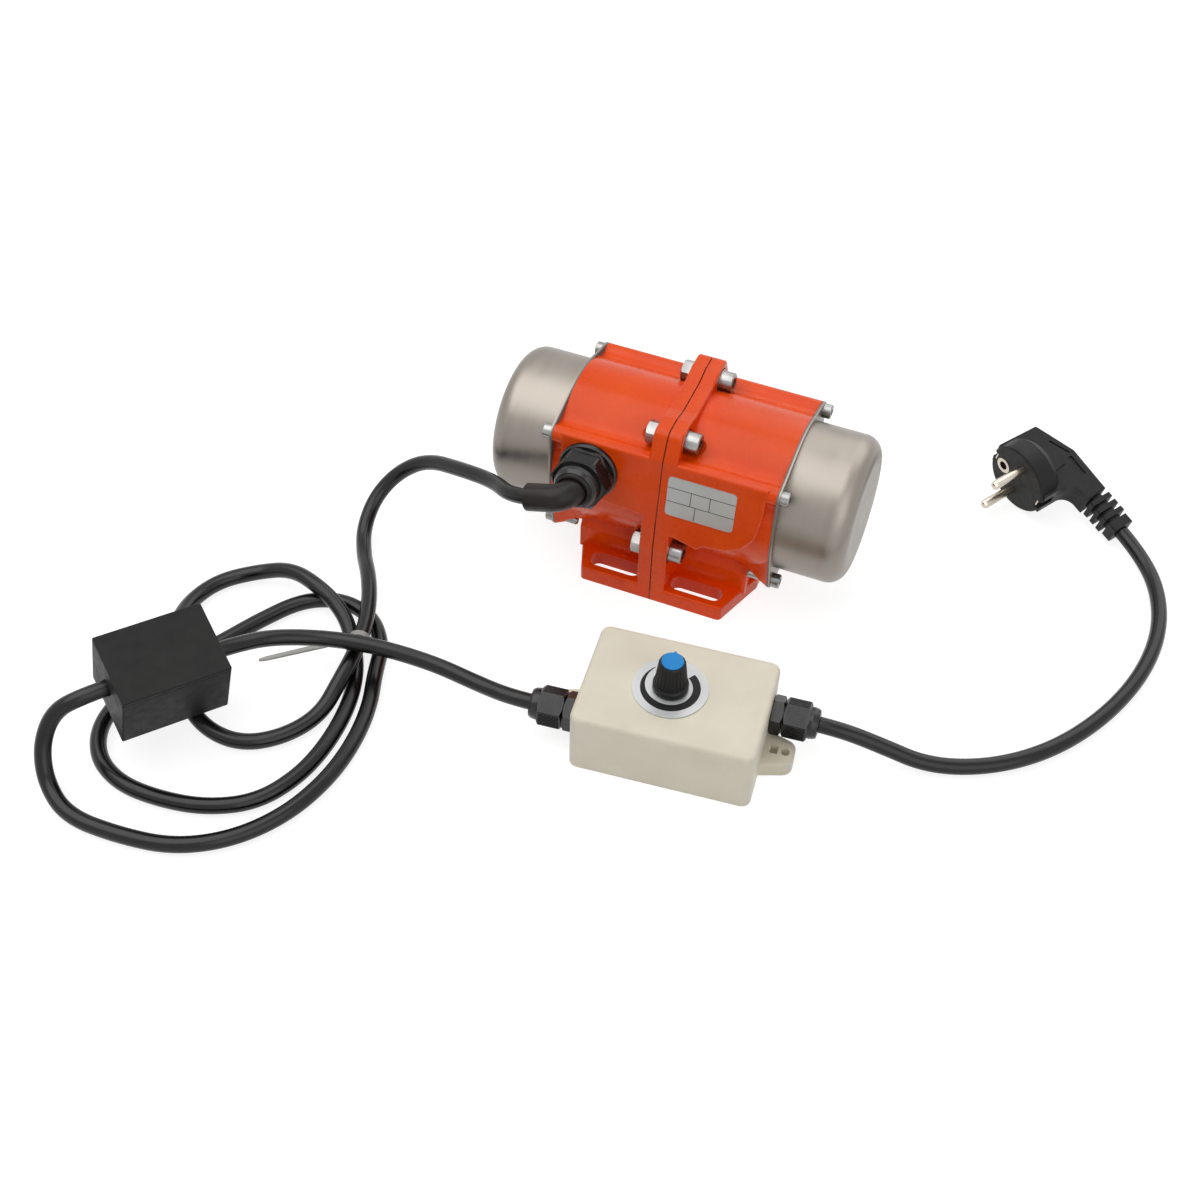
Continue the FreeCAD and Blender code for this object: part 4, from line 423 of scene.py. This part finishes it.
METALS = {
    "zinc": metal("zinc-plating", (168, 168, 166), (124, 124, 123), 0.28),
    "bearing": metal("bearing-steel", (216, 216, 218), (196, 196, 200), 0.12, marks=0.1),
    "shaft": metal("ground-steel", (196, 196, 198), (168, 168, 172), 0.22),
    "weight": metal("milled-steel", (150, 150, 152), (120, 120, 124), 0.42, grain=250, marks=0.6),
    "nickel": metal("nickel-plating", (214, 204, 190), (190, 180, 164), 0.22),
    "tin": metal("tinned-sheet", (176, 178, 182), (150, 152, 156), 0.35),
}
METAL_PIECES = {
    "zinc": ("cap_screws_right", "cap_screws_left", "flange_bolts", "flange_washers",
             "flange_nuts", "fixed_clamp_screws", "adjustable_clamp_screw_right",
             "adjustable_clamp_screw_left", "controller_base_screws", "potentiometer_nut"),
    "bearing": ("bearing_outer_races", "bearing_inner_races", "ball_cage_right",
                "ball_cage_left"),
    "shaft": ("rotor_shaft", "shaft_circlips", "wave_washer"),
    "weight": ("fixed_weight_right", "fixed_weight_left", "adjustable_weight_right",
               "adjustable_weight_left"),
    "nickel": ("plug_pins", "earth_socket", "earth_clips"),
    "tin": ("speed_potentiometer", "potentiometer_shaft", "board_components"),
}
for kind, names in METAL_PIECES.items():
    for name in names:
        wear(name, METALS[kind])
print("metal pieces:", sum(len(names) for names in METAL_PIECES.values()))

# %% [markdown]
# ## Motor inside
#
# The stator and rotor are stacks of thin sheets, so their sides show fine lines across the shaft.
# The windings are copper wire under brown varnish.

# %% Make laminations and windings
SHEETS_SCALE = 320


def laminations():
    """The side of a stack of thin sheets."""
    material, tree, shader = finish("laminations", Metallic=1.0)
    sheets = tree.nodes.new("ShaderNodeTexWave")
    sheets.bands_direction = "X"
    sheets.inputs["Scale"].default_value = SHEETS_SCALE
    sheets.inputs["Distortion"].default_value = 0.6
    tree.links.new(place_on_object(tree), sheets.inputs["Vector"])
    edges = sheets.outputs["Fac"]
    feed(tree, shader, "Base Color", mixed(tree, edges, colour(92, 92, 98), colour(140, 140, 146)))
    feed(tree, shader, "Roughness", spread(tree, noise(tree, per_metre=300), 0.4, 0.55))
    relief(tree, shader, edges, depth=0.00005, strength=0.6)
    return material


def varnished_copper():
    """Strands of wire that run along the shaft, under brown varnish."""
    material, tree, shader = finish(
        "varnished-copper", Metallic=0.8, Coat_Weight=0.6, Coat_Roughness=0.15)
    strands = noise(tree, per_metre=900, detail=2, stretch=(0.2, 1.0, 1.0))
    tone = mixed(tree, spread(tree, strands, 0, 1), colour(150, 70, 28), colour(214, 122, 62))
    feed(tree, shader, "Base Color", tone)
    feed(tree, shader, "Roughness", spread(tree, noise(tree, per_metre=200), 0.25, 0.4))
    relief(tree, shader, strands, depth=0.0002, strength=0.6)
    return material


LAMINATIONS = laminations()
for name in ("stator_core", "rotor_core"):
    wear(name, LAMINATIONS)
wear("stator_windings", varnished_copper())
print("inner pieces finished with", LAMINATIONS.name, "and copper")

# %% [markdown]
# ## Plastics and rubber
#
# Moulded plastic copies its steel mould: a fine even grain, a soft sheen and slight changes of
# gloss.  What differs from piece to piece is the colour, how matt it is and how coarse the grain.

# %% Make the plastics


def moulded(name, light, dark, rough, grain=1500, depth=0.00003, gloss=0.25, **sockets):
    """Moulded plastic or rubber; light and dark are screen colours."""
    material, tree, shader = finish(name, Specular_IOR_Level=gloss, **sockets)
    tone = spread(tree, noise(tree, per_metre=60, detail=3), 0, 1)
    feed(tree, shader, "Base Color", mixed(tree, tone, colour(*dark), colour(*light)))
    patches = noise(tree, per_metre=220, detail=3)
    feed(tree, shader, "Roughness", spread(tree, patches, rough * 0.85, rough * 1.15))
    relief(tree, shader, noise(tree, per_metre=grain, detail=2), depth, strength=0.4)
    return material


PLASTICS = {
    "cord": moulded("cord-jacket", (19, 19, 18), (12, 12, 12), 0.24, grain=900, gloss=0.35),
    "sleeve": moulded("shrink-sleeve", (34, 26, 24), (22, 18, 17), 0.36, grain=500, depth=0.0001),
    "nylon": moulded("black-nylon", (24, 24, 24), (15, 15, 16), 0.26, gloss=0.45),
    "black": moulded("black-plastic", (38, 38, 37), (30, 30, 30), 0.5, gloss=0.15),
    "plug": moulded("plug-rubber", (25, 25, 24), (18, 18, 18), 0.5, grain=1100, depth=0.00008),
    "knob": moulded("knob-rubber", (27, 27, 27), (19, 19, 20), 0.45),
    "beige": moulded("beige-plastic", (246, 239, 220), (240, 232, 212), 0.4, grain=1300,
                     Subsurface_Weight=0.05, Subsurface_Radius=(0.002, 0.0015, 0.001)),
    "blue": moulded("blue-plastic", (40, 150, 224), (30, 138, 214), 0.4),
    "ring": moulded("silver-ring", (216, 218, 218), (204, 206, 207), 0.34, grain=2500,
                    Metallic=0.25),
    "tie": moulded("white-nylon", (206, 204, 200), (192, 190, 186), 0.4,
                   Transmission_Weight=0.35),
    "gasket": moulded("gasket-paper", (128, 132, 130), (104, 108, 107), 0.6),
    "board": moulded("green-board", (38, 104, 60), (28, 88, 48), 0.4, grain=2000),
    "film": moulded("capacitor-case", (60, 62, 68), (48, 50, 56), 0.35),
    "plate": moulded("satin-aluminium", (196, 199, 198), (186, 189, 188), 0.34, grain=2600,
                     Metallic=0.45),
    "ink": moulded("black-ink", (18, 18, 18), (12, 12, 12), 0.5),
}
PLASTIC_PIECES = {
    "sleeve": ("cable_sleeve",),
    "nylon": ("motor_gland_body", "motor_gland_nut", "controller_gland_body_right",
              "controller_gland_body_left", "controller_gland_nut_right",
              "controller_gland_nut_left", "controller_gland_locknuts"),
    "black": ("capacitor_box", "capacitor_lid"),
    "plug": ("plug_body",),
    "knob": ("speed_knob",),
    "beige": ("controller_cover", "controller_base"),
    "blue": ("knob_cap",),
    "ring": ("dial_ring",),
    "tie": ("cable_tie",),
    "gasket": ("cap_gasket_right", "cap_gasket_left", "motor_gland_seal"),
    "board": ("control_board",),
    "film": ("run_capacitor",),
    "plate": ("rating_plate",),
}
for kind, names in PLASTIC_PIECES.items():
    for name in names:
        wear(name, PLASTICS[kind])
for cord in cords.values():
    cord.data.materials.append(PLASTICS["cord"])
print("plastic pieces:", sum(len(names) for names in PLASTIC_PIECES.values()))

# %% [markdown]
# ## Tools for small meshes
#
# The thin pieces to come are all one idea: a small outline, repeated along a way, with skin
# between one outline and the next.  Two outlines make a bar.  Many make a band.  If the last is
# joined to the first, they make a ring.  The points are written straight into a mesh, because a
# modifier would be more to set up for shapes as plain as these.

# %% Skin over outlines


def skin_over(shape, outlines, ring=False):
    """Join outlines that have as many corners as each other; without a ring the ends are shut."""
    rows = [[shape.verts.new(corner) for corner in outline] for outline in outlines]
    for this, after in zip(rows, rows[1:] + rows[:1] if ring else rows[1:]):
        for corner in range(len(this)):
            follow = (corner + 1) % len(this)
            shape.faces.new((this[corner], this[follow], after[follow], after[corner]))
    if not ring:
        shape.faces.new(rows[0][::-1])
        shape.faces.new(rows[-1])


def thin_piece(name, parts, material, body=ROOT, ring=False):
    """An object made of skinned parts; it moves with a body."""
    shape = bmesh.new()
    for outlines in parts:
        skin_over(shape, outlines, ring)
    bmesh.ops.recalc_face_normals(shape, faces=shape.faces)
    for face in shape.faces:
        face.smooth = ring
    mesh = bpy.data.meshes.new(name)
    shape.to_mesh(mesh)
    shape.free()
    mesh.materials.append(material)
    piece = bpy.data.objects.new(name, mesh)
    bpy.context.scene.collection.objects.link(piece)
    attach(piece, body)
    return piece


print("mesh helpers ready")

# %% [markdown]
# ## Printed lines
#
# The rating plate is ruled into boxes.  Ink could be a texture on the plate, but a line with its
# own thin mesh stays sharp close up and needs no unwrapping.  Each line is a flat band, a few
# hundredths of a millimetre thick, that lies on the surface.

# %% Rule the rating plate
INK_THICKNESS = 0.00003
LINE_WIDTH = 0.00032
PLATE_THICKNESS = 0.0004


def printed_band(name, edge_pairs, outward):
    """A band through pairs of points that lie on a surface."""
    raised = outward * INK_THICKNESS
    outlines = [(left, right, right + raised, left + raised) for left, right in edge_pairs]
    return thin_piece(name, [outlines], PLASTICS["ink"])


plate_low, plate_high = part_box("rating_plate")
plate_rise = Vector((0, plate_high.y - plate_low.y - PLATE_THICKNESS, plate_high.z - plate_low.z))
plate_width = Vector((plate_high.x - plate_low.x, 0, 0))
plate_outward = plate_width.cross(plate_rise).normalized()


def on_plate(across, down):
    """A place on the plate's face; 0 to 1 from its left edge and from its top edge."""
    return plate_low + plate_width * across + plate_rise * (1 - down)


LEFT_END, RIGHT_END, LOW_END = 0.005, 0.995, 0.97
UPPER_RULE, LOWER_RULE = 0.28, 0.63
RULES = {
    "rule-upper": ((LEFT_END, UPPER_RULE), (RIGHT_END, UPPER_RULE)),
    "rule-lower": ((LEFT_END, LOWER_RULE), (RIGHT_END, LOWER_RULE)),
    "divider-left": ((0.35, UPPER_RULE), (0.35, LOWER_RULE)),
    "divider-right": ((0.63, UPPER_RULE), (0.63, LOWER_RULE)),
    "divider-low": ((0.43, LOWER_RULE), (0.43, LOW_END)),
}
for name, ends in RULES.items():
    start, end = (on_plate(*place) for place in ends)
    aside = (end - start).normalized().cross(plate_outward) * LINE_WIDTH / 2
    edges = [(place - aside, place + aside) for place in (start, end)]
    printed_band(name, edges, plate_outward)
print(f"plate: {plate_width.length:.4f} by {plate_rise.length:.4f} m with {len(RULES)} lines")

# %% [markdown]
# ## Dial scale
#
# The scale on the dial ring grows from thin to thick, so that turning the speed up reads at a
# glance.  Its outer edge is a circle.  From the thick end, its inner edge keeps to a circle for
# more than half the way, and then it bends outwards until it almost meets the outer one.

# %% Print the dial scale
SCALE_OUTER, SCALE_INNER, SCALE_THINNEST = 0.0134, 0.0099, 0.0003
THICK_END, TAPER_START, THIN_END = 56, -100, -220
SCALE_STEP = 3
TAPER_BEND = 1.4


def heading(degrees):
    """The level direction at an angle from the X axis."""
    angle = math.radians(degrees)
    return Vector((math.cos(angle), math.sin(angle), 0))


dial_low, dial_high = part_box("dial_ring")
dial_top = Vector(((dial_low.x + dial_high.x) / 2, (dial_low.y + dial_high.y) / 2, dial_high.z))
scale_edges = []
for angle in range(THICK_END, THIN_END - 1, -SCALE_STEP):
    taper = max(0.0, (TAPER_START - angle) / (TAPER_START - THIN_END)) ** TAPER_BEND
    inner = SCALE_INNER + (SCALE_OUTER - SCALE_THINNEST - SCALE_INNER) * taper
    scale_edges.append((dial_top + heading(angle) * inner, dial_top + heading(angle) * SCALE_OUTER))
printed_band("dial-scale", scale_edges, Vector((0, 0, 1)))
print("scale:", len(scale_edges), "steps round", THICK_END - THIN_END, "degrees")

# %% [markdown]
# ## Ribs of the small gland nuts
#
# Fingers need something to hold, so the nuts of the controller's two glands have fine ribs on
# their flats.  Ribs could be bump in the material, but raised bars keep their outline against the
# background.  Each bar is sunk a little way into the flat that it stands on, and it narrows
# towards its top.  The nuts lie along the controller's box, which is turned a little.

# %% Add the ribs
BAR_SINK = 0.0003
NUT_HALF_FLATS = 0.008
NUT_RIB_WIDTH, NUT_RIB_HEIGHT, NUT_RIB_PITCH, NUT_RIBS = 0.00048, 0.00028, 0.00095, 9
CONTROLLER_PLACE, CONTROLLER_TURN = Vector((0.0402, -0.1184, 0.0170)), 6.2
GLAND_ASIDE = 0.0124
RIBS_START, RIBS_END = 0.0483, 0.0578
NUT_RIB_NARROWING = 0.6


def bar_section(seat, outwards, aside, height, narrowing):
    """The four corners of a bar that stands on a seat; aside is half its width at the foot."""
    foot, top = seat - outwards * BAR_SINK, seat + outwards * height
    return [foot - aside, foot + aside, top + aside * narrowing, top - aside * narrowing]


for side, word in ((1, "right"), (-1, "left")):
    along = heading(CONTROLLER_TURN) * side
    across = heading(CONTROLLER_TURN + 90)
    gland_middle = CONTROLLER_PLACE + across * side * GLAND_ASIDE
    ribs = []
    for flat in range(6):
        angle = math.radians(60 * flat)
        outwards = across * math.cos(angle) + Vector((0, 0, 1)) * math.sin(angle)
        sideways = outwards.cross(along)
        for rib in range(NUT_RIBS):
            seat = outwards * NUT_HALF_FLATS + sideways * NUT_RIB_PITCH * (rib - (NUT_RIBS - 1) / 2)
            ribs.append([
                bar_section(gland_middle + along * reach + seat, outwards,
                            sideways * NUT_RIB_WIDTH / 2, NUT_RIB_HEIGHT, NUT_RIB_NARROWING)
                for reach in (RIBS_START, RIBS_END)
            ])
    thin_piece("nut-ribs-" + word, ribs, PLASTICS["nylon"])
    print("ribs on the", word, "nut:", len(ribs))

# %% [markdown]
# ## Flutes of the knob
#
# The knob narrows upwards, and its side is fluted for the same reason.  The same kind of bar runs
# up the cone, and it turns with the knob, because it rides on the knob's own body.

# %% Flute the knob
FLUTES = 22
FLUTE_HALF_WIDTH, FLUTE_HEIGHT, FLUTE_NARROWING = 0.0003, 0.0002, 0.5
FLUTE_ENDS = ((0.0386, 0.00714), (0.0504, 0.00584))

knob_low, knob_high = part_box("speed_knob")
knob_axis = Vector(((knob_low.x + knob_high.x) / 2, (knob_low.y + knob_high.y) / 2, 0))
flutes = []
for flute in range(FLUTES):
    angle = 360 * flute / FLUTES
    aside = heading(angle + 90) * FLUTE_HALF_WIDTH
    flutes.append([
        bar_section(knob_axis + Vector((0, 0, height)) + heading(angle) * radius, heading(angle),
                    aside, FLUTE_HEIGHT, FLUTE_NARROWING)
        for height, radius in FLUTE_ENDS
    ])
thin_piece("knob-flutes", flutes, PLASTICS["knob"], body="knob")
print("flutes:", len(flutes))

# %% [markdown]
# ## Lip in the motor gland
#
# The rubber seal of the big gland bulges out round the sleeve and closes the mouth of its nut.
# That is a soft ring: a small rounded outline, carried round the axis of the gland.

# %% Close the gland's mouth
GLAND_FOOT, GLAND_AHEAD = Vector((-0.0352, -0.0443, 0.0698)), Vector((-0.0352, -0.0640, 0.0725))
LIP_OUTLINE = [
    (0.0088, 0.0105), (0.0090, 0.0124), (0.0087, 0.0131), (0.0080, 0.0135), (0.0072, 0.0136),
    (0.0066, 0.0133), (0.0062, 0.0126), (0.0060, 0.0105),
]
LIP_STEPS = 48

gland_along = (GLAND_AHEAD - GLAND_FOOT).normalized()
gland_level = Vector((1, 0, 0))
gland_upright = gland_along.cross(gland_level)
lip_rings = []
for step in range(LIP_STEPS):
    angle = 2 * math.pi * step / LIP_STEPS
    outwards = gland_level * math.cos(angle) + gland_upright * math.sin(angle)
    lip_rings.append([
        GLAND_FOOT + gland_along * ahead + outwards * out for out, ahead in LIP_OUTLINE])
lip = thin_piece("gland-lip", [lip_rings], PLASTICS["sleeve"], ring=True)
print("lip faces:", len(lip.data.polygons))

# %% [markdown]
# ## Lamps
#
# A studio shot on white uses big soft lamps.  A large lamp close by gives soft shadows and broad
# highlights.  One stands above on the left, one in front on the right, and one behind.

# %% Hang the lamps


def soft_lamp(name, at, aim, size, power):
    """A square lamp that points at a place."""
    data = bpy.data.lights.new(name, "AREA")
    data.size = size
    data.energy = power
    lamp = bpy.data.objects.new(name, data)
    lamp.location = at
    lamp.rotation_euler = (Vector(at) - Vector(aim)).to_track_quat("Z", "Y").to_euler()
    bpy.context.scene.collection.objects.link(lamp)
    return lamp


OBJECT_MIDDLE = (0.0, -0.05, 0.03)
soft_lamp("key-lamp", at=(-0.5, -0.2, 1.3), aim=OBJECT_MIDDLE, size=1.5, power=14)
soft_lamp("fill-lamp", at=(0.9, -0.9, 0.8), aim=OBJECT_MIDDLE, size=1.2, power=5)
soft_lamp("back-lamp", at=(0.3, 1.0, 0.9), aim=(0.0, 0.0, 0.03), size=1.2, power=6)
print("lamps:", len(bpy.data.lights))

# %% [markdown]
# ## Sky
#
# The light that comes from all round is dimmer than white, or it would wash the colours out, yet
# the background has to look white.  A light path tells one from the other: what the camera sees,
# straight or in metal and glass, gets the white, and what falls on things gets the dimmer light.

# %% Light the sky
SKY_STRENGTH = 0.55


def seen_directly(tree):
    """1 for what the camera sees, straight or in metal and glass, and 0 for light on things."""
    path = tree.nodes.new("ShaderNodeLightPath")
    seen = path.outputs["Is Camera Ray"]
    for ray in ("Is Glossy Ray", "Is Transmission Ray"):
        seen = maths(tree, "MAXIMUM", seen, path.outputs[ray])
    return seen


def choose(tree, amount, first, second, target):
    """Send a blend of two shaders to the material's or the world's output."""
    choice = tree.nodes.new("ShaderNodeMixShader")
    for source, socket in zip((amount, first, second), choice.inputs):
        tree.links.new(source, socket)
    tree.links.new(choice.outputs["Shader"], target)


world = bpy.data.worlds.new("studio")
bpy.context.scene.world = world
world.use_nodes = True
sky = world.node_tree.nodes["Background"]
sky.inputs["Strength"].default_value = SKY_STRENGTH
backdrop = world.node_tree.nodes.new("ShaderNodeBackground")
backdrop.inputs["Color"].default_value = (1.0, 1.0, 1.0, 1.0)
choose(world.node_tree, seen_directly(world.node_tree), sky.outputs["Background"],
       backdrop.outputs["Background"], world.node_tree.nodes["World Output"].inputs["Surface"])
bpy.context.scene.view_settings.view_transform = "Standard"
print("sky strength:", SKY_STRENGTH)

# %% [markdown]
# ## Floor
#
# The floor shows as white too, but it still has to take the object's shadow.  So what the camera
# sees of it is part plain glow and part ordinary matt white, which the shadow darkens.

# %% Lay the floor
FLOOR_SIZE, FLOOR_DROP = 6.0, 0.0001
GLOW_STRENGTH, GLOW_SHARE = 1.4, 0.6

floor_shape = bmesh.new()
bmesh.ops.create_grid(floor_shape, x_segments=1, y_segments=1, size=FLOOR_SIZE / 2)
floor_mesh = bpy.data.meshes.new("floor")
floor_shape.to_mesh(floor_mesh)
floor_shape.free()
floor = bpy.data.objects.new("floor", floor_mesh)
floor.location.z = -FLOOR_DROP
bpy.context.scene.collection.objects.link(floor)

floor_material, tree, shader = finish(
    "white-floor", Base_Color=(0.9, 0.9, 0.9, 1.0), Roughness=0.6)
glow = tree.nodes.new("ShaderNodeEmission")
glow.inputs["Color"].default_value = (1.0, 1.0, 1.0, 1.0)
glow.inputs["Strength"].default_value = GLOW_STRENGTH
share = maths(tree, "MULTIPLY", seen_directly(tree), GLOW_SHARE)
choose(tree, share, shader.outputs["BSDF"], glow.outputs["Emission"],
       tree.nodes["Material Output"].inputs["Surface"])
floor_mesh.materials.append(floor_material)
print("floor:", FLOOR_SIZE, "m square")

# %% [markdown]
# ## Measure and hand over
# At the end Blender works out again where every object stands.
# The dressed model has to stay as large as the solid one, so both boxes are written down.

# %% Update the scene
bpy.context.view_layer.update()
